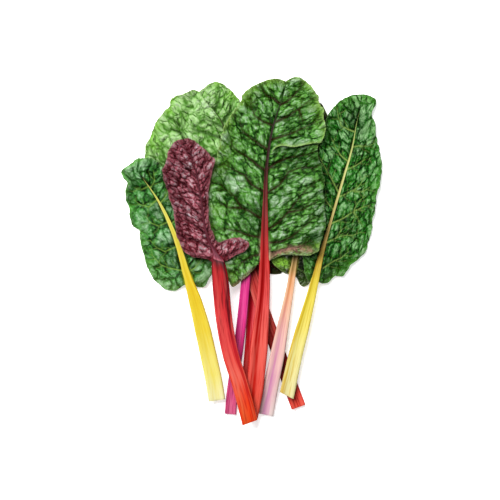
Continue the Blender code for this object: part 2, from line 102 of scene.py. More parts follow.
def lengths(points):
    """How far along a line each of its points is."""
    steps = np.linalg.norm(np.diff(points[:, :2], axis=0), axis=1)
    return np.concatenate(([0.0], np.cumsum(steps)))


def smooth_line(points, samples=12):
    """A smooth curve through the points, as many short straight pieces."""
    at = lengths(points)
    slopes = np.gradient(points, at, axis=0)
    run = [points[:1]]
    t = np.linspace(0, 1, samples + 1)[1:, None]
    for k in range(len(points) - 1):
        step = at[k + 1] - at[k]
        run.append(
            (2 * t**3 - 3 * t**2 + 1) * points[k] + (t**3 - 2 * t**2 + t) * step * slopes[k]
            + (3 * t**2 - 2 * t**3) * points[k + 1] + (t**3 - t**2) * step * slopes[k + 1]
        )
    return np.vstack(run)


def read_line(line, at, where):
    """The points of a line at the given places, in the measure that `at` gives it."""
    return np.stack([np.interp(where, at, column) for column in line.T], axis=-1)


def spread(height, reach, radius):
    """The highest of the cells within reach, each sinking away as a ball would."""
    for axis in (0, 1):
        result = height
        for k in range(1, int(round(reach / CELL)) + 1):
            drop = 0.0 if radius is None else (k * CELL) ** 2 / (2 * radius)
            for way in (k, -k):
                result = np.maximum(result, np.roll(height, way, axis) - drop)
        height = result
    return height


class Heap:
    """How high the leaves lie so far, on a grid of cells."""

    def __init__(self):
        self.height = np.zeros(HEAP_CELLS)

    def add(self, sheet):
        """Lay down a surface, given as rows of points, as the cells' new heights."""
        for axis in (0, 1):
            count = sheet.shape[axis]
            longest = np.linalg.norm(np.diff(sheet[..., :2], axis=axis), axis=2).max()
            at = np.linspace(0, count - 1, (count - 1) * (int(longest / CELL) + 1) + 1)
            low = np.minimum(at.astype(int), count - 2)
            share = (at - low).reshape((-1, 1, 1) if axis == 0 else (1, -1, 1))
            sheet = np.take(sheet, low, axis) * (1 - share) + np.take(sheet, low + 1, axis) * share
        spots = sheet.reshape(-1, 3)
        column = np.rint((spots[:, 0] + HEAP_HALF[0]) / CELL).astype(int)
        row = np.rint((spots[:, 1] + HEAP_HALF[1]) / CELL).astype(int)
        fresh = np.zeros(self.height.shape)
        np.maximum.at(fresh, (column, row), spots[:, 2])
        self.height = np.maximum(self.height, spread(fresh, CELL, None))


def read_cells(grid, x, y):
    """The grid's height at plan points, between the four nearest cells."""
    u = np.clip((x + HEAP_HALF[0]) / CELL, 0, grid.shape[0] - 1.001)
    v = np.clip((y + HEAP_HALF[1]) / CELL, 0, grid.shape[1] - 1.001)
    i, j = u.astype(int), v.astype(int)
    s, t = u - i, v - j
    low = grid[i, j] * (1 - s) + grid[i + 1, j] * s
    high = grid[i, j + 1] * (1 - s) + grid[i + 1, j + 1] * s
    return low * (1 - t) + high * t


def pressed_by(names):
    """Where the named leaves will lie on this one, from 0 at their edge to 1 further in: the
    solids that stand for them, seen from above."""
    cover = np.zeros(HEAP_CELLS)
    for name in names:
        for part in ("_stem", "_blade"):
            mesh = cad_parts[name + part].data
            mesh.calc_loop_triangles()
            corners = np.array([[mesh.vertices[v].co[:2] for v in face.vertices]
                                for face in mesh.loop_triangles])
            i, j = np.meshgrid(*[np.linspace(0, 1, 14)] * 2)
            inside = i + j <= 1
            weights = np.stack([i[inside], j[inside], 1 - i[inside] - j[inside]], axis=1)
            spots = np.einsum("sk,tkd->tsd", weights, corners).reshape(-1, 2)
            cells = np.rint((spots + np.array(HEAP_HALF)) / CELL).astype(int)
            cover[cells[:, 0], cells[:, 1]] = 1
    for axis in (0, 1):
        cover = sum(np.roll(cover, k, axis) for k in range(-PRESS_REACH, PRESS_REACH + 1))
        cover = cover / (2 * PRESS_REACH + 1)
    return np.clip(2 * cover - 1, 0, 1)


def with_gap(height):
    """Just clear of what lies below, but down on the bare table itself."""
    return height + GAP * np.clip(height / 0.001, 0, 1)


def stem_profile(places, needed):
    """The height of a stiff stem that lies on all that needs it to be so high."""
    reach = int(STEM_ROUNDING / 2 / (places[1] - places[0]))
    near = np.abs(places[:, None] - places[None, :]) < STEM_ROUNDING / 2
    needed = np.where(near, needed[None, :], 0).max(axis=1)
    hull = []
    for point in zip(places, needed):
        while len(hull) > 1:
            (x0, z0), (x1, z1) = hull[-2:]
            if (z1 - z0) * (point[0] - x0) > (point[1] - z0) * (x1 - x0):
                break
            hull.pop()
        hull.append(point)
    straight = np.interp(places, *np.array(hull).T)
    before = straight[0] - (straight[1] - straight[0]) * np.arange(reach, 0, -1)
    beyond = straight[-1] + (straight[-1] - straight[-2]) * np.arange(1, reach + 1)
    padded = np.concatenate([before, straight, beyond])
    return np.convolve(padded, np.full(2 * reach + 1, 1 / (2 * reach + 1)), mode="valid")


class Midrib:
    """One leaf's stem: its middle line, width and height at any distance from the cut."""

    def __init__(self, leaf):
        self.line = smooth_line(plan(leaf["stem"]))
        self.at = lengths(self.line)
        self.length = self.at[-1]
        rows = BUNCH_MIDDLE[1] - self.line[:, 1] / PIXEL
        self.blade_from = np.interp(-leaf["blade_from"], -rows, self.at)
        widths = np.array(leaf["widths"][::-1], float)
        width = np.interp(rows, widths[:, 0], widths[:, 1]) / 1000
        point = np.clip((self.length - self.at) / TIP_TAPER, 0, 1)
        self.width_here = width * (0.12 + 0.88 * point**0.8)

    def width(self, at):
        return np.interp(at, self.at, self.width_here)

    def middle(self, at):
        return read_line(self.line, self.at, at)

    def across(self, at):
        """Unit vectors to the stem's right, seen from above with the tip ahead."""
        step = self.middle(np.minimum(at + 0.003, self.length)) - self.middle(np.maximum(at - 0.003, 0))
        step /= np.linalg.norm(step, axis=1)[:, None]
        return np.stack([step[:, 1], -step[:, 0]], axis=1)

    def proud(self, at):
        """How far the midrib's top stands over the blade; little where it is thin."""
        return np.minimum(STEM_PROUD, 0.3 * self.width(at) * STEM_DEPTH)

    def lie(self, heap, draped):
        """Settle the stem on the heap. Its blade's own level has to clear it too."""
        places = np.linspace(0, self.length, int(self.length / RING_STEP) + 1)
        middle, across, width = self.middle(places), self.across(places), self.width(places)
        under, over = np.zeros(len(places)), np.zeros(len(places))
        low_side = np.array(HALF_SECTION[:4:-1])
        for share in np.linspace(-1, 1, 21):
            spot = middle + across * (width * share / 2)[:, None]
            deep = np.interp(abs(share) - 0.1, low_side[:, 0], low_side[:, 1])
            clear = with_gap(read_cells(heap.height, spot[:, 0], spot[:, 1]))
            under = np.maximum(under, clear - (1 - deep) * width * STEM_DEPTH)
            over = np.maximum(over, read_cells(draped, spot[:, 0], spot[:, 1]))
        sunk = np.maximum(self.proud(places) + BLADE_THICKNESS - width * STEM_DEPTH, 0)
        blade = np.where(places > self.blade_from - 0.01, with_gap(over) + sunk, 0)
        needed = np.maximum(under, blade)
        self.places = places
        self.under = np.maximum(stem_profile(places, needed), needed)

    def underside(self, at):
        return np.interp(at, self.places, self.under)

    def blade_level(self, at):
        """The height of the blade's top where it meets the midrib."""
        return self.underside(at) + self.width(at) * STEM_DEPTH - self.proud(at)


def bell(distance, width):
    """1 on a line, and fading to nothing on both its sides."""
    return np.exp(-((distance / width) ** 2))


def ripple(x, y, wavelength, seed):
    """An even, smooth unevenness from about -1 to 1, with hills of that wavelength."""
    chance = np.random.default_rng(seed)
    total = np.zeros(np.shape(x))
    for _ in range(7):
        turn, start = chance.uniform(0, 2 * math.pi, 2)
        wave = 2 * math.pi / (wavelength * chance.uniform(0.75, 1.4))
        total += np.sin((x * math.cos(turn) + y * math.sin(turn)) * wave + start)
    return total / 2.6


def turned(x, y, size, turn):
    """A place as so many cells across and along, where the cells have a size and are turned."""
    return ((x * math.cos(turn) + y * math.sin(turn)) / size[0],
            (y * math.cos(turn) - x * math.sin(turn)) / size[1])


def blisters(x, y, size, turn, seed):
    """Puffed cells between small veins: their height from 0, at the vein, to about 1, and how
    near the vein is. Size is the cells' width and length, the length along the turned Y."""
    chance = np.random.default_rng(seed)
    x = x + 0.22 * size[0] * ripple(x, y, 1.7 * size[0], seed + 1)
    y = y + 0.22 * size[0] * ripple(x, y, 1.7 * size[0], seed + 2)
    u, v = turned(x, y, size, turn)
    u, v = u + CHANCE_CELLS / 2, v + CHANCE_CELLS / 2
    spots = chance.uniform(0.08, 0.92, (CHANCE_CELLS, CHANCE_CELLS, 2))
    swell = chance.uniform(0.55, 1.15, (CHANCE_CELLS, CHANCE_CELLS))
    lean = chance.normal(0, 0.55, (CHANCE_CELLS, CHANCE_CELLS, 2))
    nearest, second = np.full(np.shape(u), 9.0), np.full(np.shape(u), 9.0)
    tall = np.zeros(np.shape(u))
    for di in (-1, 0, 1):
        for dj in (-1, 0, 1):
            i, j = np.floor(u).astype(int) + di, np.floor(v).astype(int) + dj
            du, dv = u - i - spots[i, j, 0], v - j - spots[i, j, 1]
            away = np.hypot(du, dv)
            closer = away < nearest
            second = np.where(closer, nearest, np.minimum(second, away))
            here = swell[i, j] + lean[i, j, 0] * du + lean[i, j, 1] * dv
            tall = np.where(closer, here, tall)
            nearest = np.where(closer, away, nearest)
    border = second - nearest
    return (1 - np.exp(-3.4 * border)) * np.clip(tall, 0.2, 1.5), bell(border, 0.11)


def crumples(x, y, size, turn, seed):
    """Wandering folds: their height from 0, in the sharp valleys, to about 1 on the round
    backs, and how near the valley is. Size is a fold's width and length."""
    x = x + 0.5 * size[0] * ripple(x, y, 2.4 * size[0], seed + 1)
    y = y + 0.5 * size[0] * ripple(x, y, 2.4 * size[0], seed + 2)
    u, v = turned(x, y, size, turn)
    back = np.abs(ripple(u, v, 2.0, seed + 3) + 0.35 * ripple(u, v, 0.9, seed + 4))
    return 1.1 * np.minimum(back, 1.15), bell(back, 0.15)


def near_veins(x, y, veins):
    """How far the nearest side vein is, and how thick it still is there, from 1 to 0."""
    distance, thick = np.full(np.shape(x), 1.0), np.zeros(np.shape(x))
    for vein in veins:
        at = lengths(vein) / lengths(vein)[-1]
        for k in range(len(vein) - 1):
            step = vein[k + 1] - vein[k]
            share = ((x - vein[k, 0]) * step[0] + (y - vein[k, 1]) * step[1]) / (step @ step)
            share = np.clip(share, 0, 1)
            away = np.hypot(x - vein[k, 0] - share * step[0], y - vein[k, 1] - share * step[1])
            closer = away < distance
            distance = np.where(closer, away, distance)
            thick = np.where(closer, 1 - (at[k] + share * (at[k + 1] - at[k])), thick)
    return distance, thick


def rays(edge, midrib, count):
    """Where a blade's rays start on the midrib and where they end on its edge.

    Both the way along the edge and the way up the midrib set how the rays spread."""
    line = smooth_line(plan(edge))
    at = lengths(line) / lengths(line)[-1]
    foot = np.maximum.accumulate(np.clip(line[:, 2] / 100, 0, 1))
    mixed = 0.6 * at + 0.4 * foot
    where = np.linspace(0, mixed[-1], count + 1)
    ends = read_line(line[:, :2], mixed, where)
    feet = np.interp(where, mixed, foot)
    return midrib.blade_from + feet * (midrib.length - midrib.blade_from), ends


def grown_veins(spot, count):
    """Side veins that follow the blade's rays and fork towards its edge."""
    rows, columns = spot.shape[0] - 1, spot.shape[1] - 1
    veins = []
    for t in (np.arange(count) + 0.6) / count:
        for fork in (0.0, 0.035):
            r = np.linspace(0, 0.88, 12) if fork == 0 else np.linspace(0.45, 0.9, 6)
            bend = 0.05 * r**2 - fork * (r - 0.45) / 0.45
            row = np.clip((t + bend) * rows, 0, rows).astype(int)
            veins.append(spot[row, (r * columns).astype(int)])
    return veins


def twigs(veins, seed):
    """Small veins that branch off the side veins, first to one side and then to the other."""
    chance = np.random.default_rng(seed)
    grown = []
    for vein in veins:
        at = lengths(vein)
        for k, where in enumerate(np.arange(0.004 + chance.uniform(0, 0.003), at[-1], TWIG_STEP)):
            spot = read_line(vein, at, where)
            ahead = read_line(vein, at, min(where + 0.002, at[-1])) - read_line(vein, at, where - 0.002)
            way = 1 if k % 2 else -1
            turn = math.atan2(ahead[1], ahead[0]) + way * chance.uniform(0.7, 1.1)
            reach = chance.uniform(0.009, 0.017) * (1 - 0.45 * where / at[-1])
            points = [spot]
            for _ in range(4):
                points.append(points[-1] + reach / 4 * np.array([math.cos(turn), math.sin(turn)]))
                turn += chance.uniform(-0.35, 0.35) - 0.12 * way
            grown.append(np.array(points))
    return grown


def half_blade(leaf, side, midrib, draped):
    """Half a blade: its points, ray by ray and out from the midrib, and what its colours
    follow: the veins and their hollows, which take painted shade, the net of small veins and
    creases, also in painted shade, the crests of the swellings, which take a painted highlight,
    the rim and the margin, the base, the selvedge along the lower midrib, the hems, and the
    place in units of the blade's folds."""
    count, left_count, right_count = leaf["grid"]
    across_count, sign, seed = ((left_count, -1, leaf["seed"]) if side == "left" else
                                (right_count, 1, leaf["seed"] + 50))

    # The rays, from under the midrib out to the frilled edge.
    starts, ends = rays(leaf[side], midrib, count)
    stem_width = midrib.width(starts)[:, None]
    root = midrib.middle(starts) + sign * BLADE_FOOT * stem_width * midrib.across(starts)
    root[-1] = midrib.middle(midrib.length)
    edge_at = lengths(ends)
    outward = ends - root
    outward /= np.linalg.norm(outward, axis=1)[:, None]
    frill = sum(depth * ripple(edge_at, 0, wavelength, seed + k) for depth, wavelength, k in FRILLS)
    ends = ends + outward * (frill * np.sin(math.pi * np.linspace(0, 1, count + 1)) ** 0.3)[:, None]

    # The points on them, and how the blade drapes over the heap and rises to the midrib.
    t = np.linspace(0, 1, count + 1)[:, None]
    r = np.linspace(0, 1, across_count + 1)[None, :]
    spot = root[:, None, :] * (1 - r[..., None]) + ends[:, None, :] * r[..., None]
    x, y = spot[..., 0], spot[..., 1]
    ray = np.linalg.norm(ends - root, axis=1)[:, None]
    to_edge, to_rib = (1 - r) * ray, r * ray
    rest = with_gap(read_cells(draped, x, y)) + BLADE_THICKNESS
    lift = midrib.blade_level(starts)[:, None] - rest[:, :1]
    fall = (1 - r**1.5) ** 2

    # Hollows along the veins, with pillows between them.
    veins = grown_veins(spot, leaf["side_veins"]) if leaf.get("side_veins") else []
    veins += [plan(vein) for vein in leaf.get("veins_" + side, [])]
    distance, thick = near_veins(x, y, veins)
    to_twig, twig = near_veins(x, y, twigs(veins, seed + 40))
    clear = np.maximum(to_rib - (0.5 - BLADE_FOOT) * stem_width, 0)
    hollow_and_painted_shade = np.maximum((0.5 + 0.5 * thick) * bell(distance, VEIN_HOLLOW), bell(clear, RIB_HOLLOW))
    hollow_and_painted_shade = np.maximum(hollow_and_painted_shade, (0.25 + 0.35 * twig) * bell(to_twig, TWIG_HOLLOW))
    out = 1 - hollow_and_painted_shade
    pillow = 1 - bell(np.minimum(np.minimum(distance, to_rib), 1.5 * to_twig), PILLOW)

    # Puffed cells with smaller ones in them, and wandering folds, livelier here and there.
    size, turn = np.array(leaf["blister"]), leaf["turn"] * sign
    small, vein_net_shade = blisters(x, y, size, turn, seed)
    tiny, tiny_net = blisters(x, y, size * SMALL_CELL, turn, seed + 7)
    *size, turn, share = leaf["folds_" + side]
    fold, crack = crumples(x, y, size, turn, seed + 20)
    cell_x, cell_y = turned(x, y, size, turn)
    share = np.clip(share + 0.35 * ripple(x, y, 0.045, seed + 25), 0, 1)
    small = ((1 - share) * small + share * fold) * (0.35 + 0.65 * out)
    vein_net_shade = (1 - share) * vein_net_shade + share * crack
    lively = np.clip(0.80 + 0.45 * ripple(x, y, 0.040, seed + 31), 0.25, 1.25)
    if "calm_above" in leaf:
        calm_y = (BUNCH_MIDDLE[1] - leaf["calm_above"]) * PIXEL
        lively = lively * (1 - 0.45 * np.clip((y - calm_y) / 0.03 + 0.5, 0, 1))

    # The relief of all that, pressed flat under other leaves and raised along the hems.
    soft_edge = np.clip(to_edge / 0.004, 0.35, 1)
    detail = 0.45 * pillow + 0.50 * small * soft_edge * lively + 0.14 * tiny * out + 0.15 * out
    detail = leaf["crease"] * (detail + 0.10 * (1 + ripple(x, y, 0.018, seed + 9)))
    pressed = read_cells(leaf["pressed"], x, y)
    detail = detail * (1 - 0.85 * pressed)
    hem = np.zeros(x.shape)
    for line, reach, height in leaf.get("hems_" + side, []):
        near = bell(near_veins(x, y, [plan(line)])[0], reach * PIXEL)
        hem = np.maximum(hem, near)
        detail = detail * (1 - 0.5 * near) + height * near

    # The ruffles of the edge.
    turns = 2.5 * 2 * math.pi
    wave = leaf["ruffle"] * r**3 * (0.5 + 0.5 * np.sin(turns * t + 1.5 * sign + len(leaf["name"])))
    frilled = 0.0012 * r**8 * (1 + ripple(edge_at, 0, 0.015, seed + 5))[:, None]
    wave = (wave + frilled) * np.sin(math.pi * t) ** 0.5 * (1 - pressed)
    high = rest + lift * fall + detail * np.clip(to_rib / 0.004, 0, 1) + wave

    # What the colours follow. The crests take a painted highlight; the hollows and the net of
    # small veins and creases take painted shade.
    wide = leaf["vein_width"]
    follow = {
        "vein": np.maximum((0.6 + 0.4 * thick) * bell(distance, wide * (0.6 + thick)),
                           (0.3 + 0.3 * twig) * bell(to_twig, 0.9 * wide)),
        "vein_net_shade": np.maximum(0.9 * vein_net_shade, 0.45 * tiny_net),
        "crest_highlight": np.clip(0.46 * pillow * (1.15 - 0.3 * lively) + 0.42 * small * lively
                         + 0.20 * (tiny - 0.45) + 0.05, 0, 1.2),
        "hollow_and_painted_shade": hollow_and_painted_shade,
        "rim": np.exp(-to_edge / RIM),
        "margin": np.exp(-to_edge / MARGIN),
        "base": np.exp(-t / 0.10) * np.clip(r * 1.5, 0, 1),
        "selvedge": bell(clear, SELVEDGE) * np.clip(1.2 - t / 0.25, 0, 1),
        "hem": hem, "cell_x": cell_x, "cell_y": cell_y,
    }
    # Where the right edge lies in shade, painted shade: its rim and margin are dimmed, and painted shade
    # reaches in from the edge.
    if "shaded_edge" in leaf and side == "right":
        low, top, reach = leaf["shaded_edge"]
        low, top = (BUNCH_MIDDLE[1] - low) * PIXEL, (BUNCH_MIDDLE[1] - top) * PIXEL
        inside = np.clip((y - low) / 0.006, 0, 1) * np.clip((top - y) / 0.006, 0, 1)
        follow["rim"] = follow["rim"] * (1 - 0.9 * inside)
        follow["margin"] = follow["margin"] * (1 - 0.9 * inside)
        follow["hollow_and_painted_shade"] = np.maximum(hollow_and_painted_shade, 0.8 * inside * np.exp(-to_edge / reach))
    # Along the fold, a painted highlight on its lip in the rim's colour, and a painted shadow below it.
    if "fold" in leaf and side == "right":
        high, y, lip_highlight, shade = folded(leaf["fold"], x, y, high)
        follow["rim"] = np.maximum(follow["rim"], lip_highlight)
        follow["hollow_and_painted_shade"] = np.maximum(follow["hollow_and_painted_shade"], shade)
    return np.stack([x, y, high], axis=2), follow


def on_whole_mesh(operator, **settings):
    bpy.ops.object.mode_set(mode="EDIT")
    bpy.ops.mesh.select_all(action="SELECT")
    operator(**settings)
    bpy.ops.object.mode_set(mode="OBJECT")


def carry(piece, name, values):
    """Give each of a piece's points a value that its colours can follow."""
    piece.data.attributes.new(name, "FLOAT", "POINT").data.foreach_set("value", values)


def shaped_grid(name, sheet, follow):
    """A grid primitive with its vertices moved to the sheet's points, row by row."""
    rows, columns = sheet.shape[:2]
    bpy.ops.mesh.primitive_grid_add(x_subdivisions=columns - 1, y_subdivisions=rows - 1, size=1)
    made = bpy.context.object
    made.name = made.data.name = name
    made.data.vertices.foreach_set("co", sheet.reshape(-1))
    for key, values in follow.items():
        carry(made, key, np.broadcast_to(values, sheet.shape[:2]).reshape(-1))
    made.data.update()
    on_whole_mesh(bpy.ops.mesh.remove_doubles, threshold=0.00001)
    return made


def grow_blade(leaf, midrib, heap, draped):
    """The blade, one sheet from its left edge through the midrib to its right edge."""
    left, follow = half_blade(leaf, "left", midrib, draped)
    right, follow_right = half_blade(leaf, "right", midrib, draped)
    starts = sum(rays(leaf[side], midrib, leaf["grid"][0])[0] for side in ("left", "right")) / 2
    inside = np.column_stack([midrib.middle(starts),
                              midrib.underside(starts) + 0.45 * STEM_DEPTH * midrib.width(starts)])
    inside[-1, 2] = left[-1, 0, 2]
    sheet = np.concatenate([left[:, ::-1], inside[:, None], right], axis=1)
    follow = {
        key: np.concatenate([values[:, ::-1], values[:, :1], follow_right[key]], axis=1)
        for key, values in follow.items()
    }
    heap.add(sheet)
    blade = shaped_grid(leaf["name"] + "_leaf", sheet, follow)
    upper = len(blade.data.vertices)
    wall = blade.modifiers.new("thickness", "SOLIDIFY")
    wall.thickness, wall.offset = BLADE_THICKNESS, -1
    bpy.ops.object.modifier_apply(modifier=wall.name)
    carry(blade, "beneath", (np.arange(len(blade.data.vertices)) >= upper).astype(np.float32))
    bpy.ops.object.shade_smooth()
    return blade


def closed_section():
    """A stem's whole section as even points, round from its left side over the top."""
    half = HALF_SECTION[1:]
    corners = [(-x, z) for x, z in half[::-1]] + [HALF_SECTION[0]] + half
    corners = np.array(corners[5:] + corners[:6])
    line = smooth_line(corners, 8)
    at = lengths(line)
    return read_line(line, at, np.linspace(0, at[-1], SECTION_POINTS + 1))


def grow_stem(leaf, midrib, heap):
    """The stem, as a tube of many sections. The groove runs out towards the tip, and the
    cut end closes over its skin to the flesh."""
    section = closed_section()
    places = midrib.places
    middle, across = midrib.middle(places), midrib.across(places)
    width, under = midrib.width(places), midrib.underside(places)
    groove = leaf["groove"] * np.clip(1.2 - 20 * (places - midrib.blade_from + 0.02), 0.4, 1)[:, None]
    deep = np.where(np.abs(section[:, 0]) < 0.75, section[:, 1] * groove, section[:, 1])
    deep = np.where(section[:, 1] > 0.5, section[:, 1], deep)
    side = section[:, 0] * width[:, None] / 2
    lean = leaf.get("cut_skew", 0.0) * side[:1] * np.clip(1 - places / 0.012, 0, 1)[:, None]
    ahead = np.stack([-across[:, 1], across[:, 0]], axis=1)
    spot = middle[:, None] + side[..., None] * across[:, None] + lean[..., None] * ahead[:, None]
    high = under[:, None] + (1 - deep) * (width * STEM_DEPTH)[:, None]
    tube = np.concatenate([spot, high[..., None]], axis=2)
    heap.add(tube)

    first, last = tube[0], tube[-1]
    heart, point = first[:-1].mean(axis=0), last[:-1].mean(axis=0)
    ahead3 = np.append(ahead[0], 0)
    bevel = first + CUT_BEVEL * (heart - first) / np.linalg.norm(heart - first, axis=1)[:, None]
    cut = [heart + share * (first - heart) + push * ahead3 for share, push in
           ((0.0, 0.0012), (0.25, 0.0010), (0.5, 0.0006), (0.75, 0.0003), (0.9, 0.0001))]
    tube[0] = first + CUT_BEVEL * ahead3
    sheet = np.array(cut + [bevel] + list(tube) + [point + 0 * last])
    flesh = np.array([1, 1, 1, 1, 0.9, 0.3] + [0] * (len(places) + 1), float)
    along = np.concatenate([np.zeros(6), places, places[-1:]]) / midrib.length
    follow = {"across": section[:, 0], "along": along[:, None], "down": section[:, 1],
              "flesh": flesh[:, None]}
    stem = shaped_grid(leaf["name"] + "_rib", sheet, follow)
    on_whole_mesh(bpy.ops.mesh.normals_make_consistent, inside=False)
    bpy.ops.object.shade_smooth_by_angle(angle=math.radians(48))
    return stem


# What the studio light makes of a colour: it shows this many times brighter than its own.
LIGHT = 2.1


def tone(red, green, blue):
    """The surface colour that looks so, in screen values, under the studio light."""
    screen = np.array([red, green, blue]) / 255
    linear = np.where(screen < 0.04045, screen / 12.92, ((screen + 0.055) / 1.055) ** 2.4)
    return (*(linear / LIGHT), 1.0)


class Finish:
    """A material whose nodes are put together step by step; each step gives its output."""

    def __init__(self, name, gloss):
        self.material = bpy.data.materials.new(name)
        self.material.use_nodes = True
        self.tree = self.material.node_tree
        self.surface = self.tree.nodes["Principled BSDF"]
        self.surface.inputs["Specular IOR Level"].default_value = gloss
        self.place = self.step("ShaderNodeTexCoord").outputs["Object"]

    def step(self, kind, **inputs):
        node = self.tree.nodes.new(kind)
        for key, value in inputs.items():
            self.set(node.inputs[key.replace("_", " ")], value)
        return node

    def set(self, socket, value):
        if isinstance(value, bpy.types.NodeSocket):
            self.tree.links.new(value, socket)
        else:
            socket.default_value = value

    def follow(self, name):
        """A value that the mesh carries."""
        node = self.step("ShaderNodeAttribute")
        node.attribute_name = name
        return node.outputs["Fac"]

    def noise(self, scale, detail=3.0, place=None):
        return self.step("ShaderNodeTexNoise", Vector=place or self.place, Scale=scale,
                         Detail=detail).outputs["Fac"]

    def cells(self, scale, place=None):
        """How far the border of the nearest of many irregular cells is."""
        node = self.step("ShaderNodeTexVoronoi", Vector=place or self.place, Scale=scale)
        node.feature = "DISTANCE_TO_EDGE"
        return node.outputs["Distance"]

    def cell_tones(self, scale, place):
        """A chance value from 0 to 1 for each of those cells, and how high a point lies when
        each cell leans its own way."""
        node = self.step("ShaderNodeTexVoronoi", Vector=place, Scale=scale)
        chance = node.outputs["Color"]
        tilt = self.vector("SUBTRACT", chance, (0.5, 0.5, 0.5)).outputs[0]
        away = self.vector("SUBTRACT", place, node.outputs["Position"]).outputs[0]
        lean = self.vector("DOT_PRODUCT", tilt, away).outputs["Value"]
        return self.step("ShaderNodeSeparateColor", Color=chance).outputs["Red"], lean

    def vector(self, kind, *parts):
        node = self.tree.nodes.new("ShaderNodeVectorMath")
        node.operation = kind
        for socket, part in zip(node.inputs, parts):
            self.set(socket, part)
        return node

    def wander(self, place, scale, reach):
        """The place, led astray a little, so that cells lose their even look."""
        away = self.step("ShaderNodeTexNoise", Vector=place, Scale=scale, Detail=2.0)
        return self.vector("MULTIPLY_ADD", away.outputs["Color"], (reach,) * 3, place).outputs[0]

    def share(self, value, low, high, top=1.0):
        """The value's way from low to high, as 0 to top."""
        return self.step("ShaderNodeMapRange", Value=value, From_Min=low, From_Max=high,
                         To_Min=0.0, To_Max=top).outputs["Result"]

    def sum(self, kind, first, second):
        node = self.tree.nodes.new("ShaderNodeMath")
        node.operation = kind
        self.set(node.inputs[0], first)
        self.set(node.inputs[1], second)
        return node.outputs[0]

    def mix(self, share, first, second):
        node = self.tree.nodes.new("ShaderNodeMix")
        node.data_type = "RGBA"
        self.set(node.inputs["Factor"], share)
        self.set(node.inputs[6], first)
        self.set(node.inputs[7], second)
        return node.outputs[2]

    def ramp(self, value, stops):
        """Colours between the stops, each with its place from 0 to 1."""
        node = self.step("ShaderNodeValToRGB", Fac=value)
        marks = node.color_ramp.elements
        while len(marks) < len(stops):
            marks.new(0.5)
        for mark, (place, colour) in zip(marks, stops):
            mark.position, mark.color = place, colour
        return node.outputs["Color"]

    def bump(self, *heights):
        """Raise the surface by each height, given with its strength and its depth."""
        normal = None
        for height, strength, depth in heights:
            node = self.step("ShaderNodeBump", Height=height, Strength=strength, Distance=depth)
            if normal:
                self.set(node.inputs["Normal"], normal)
            normal = node.outputs["Normal"]
        self.set(self.surface.inputs["Normal"], normal)

    def done(self, colour, roughness):
        self.set(self.surface.inputs["Base Color"], colour)
        self.set(self.surface.inputs["Roughness"], roughness)
        return self.material


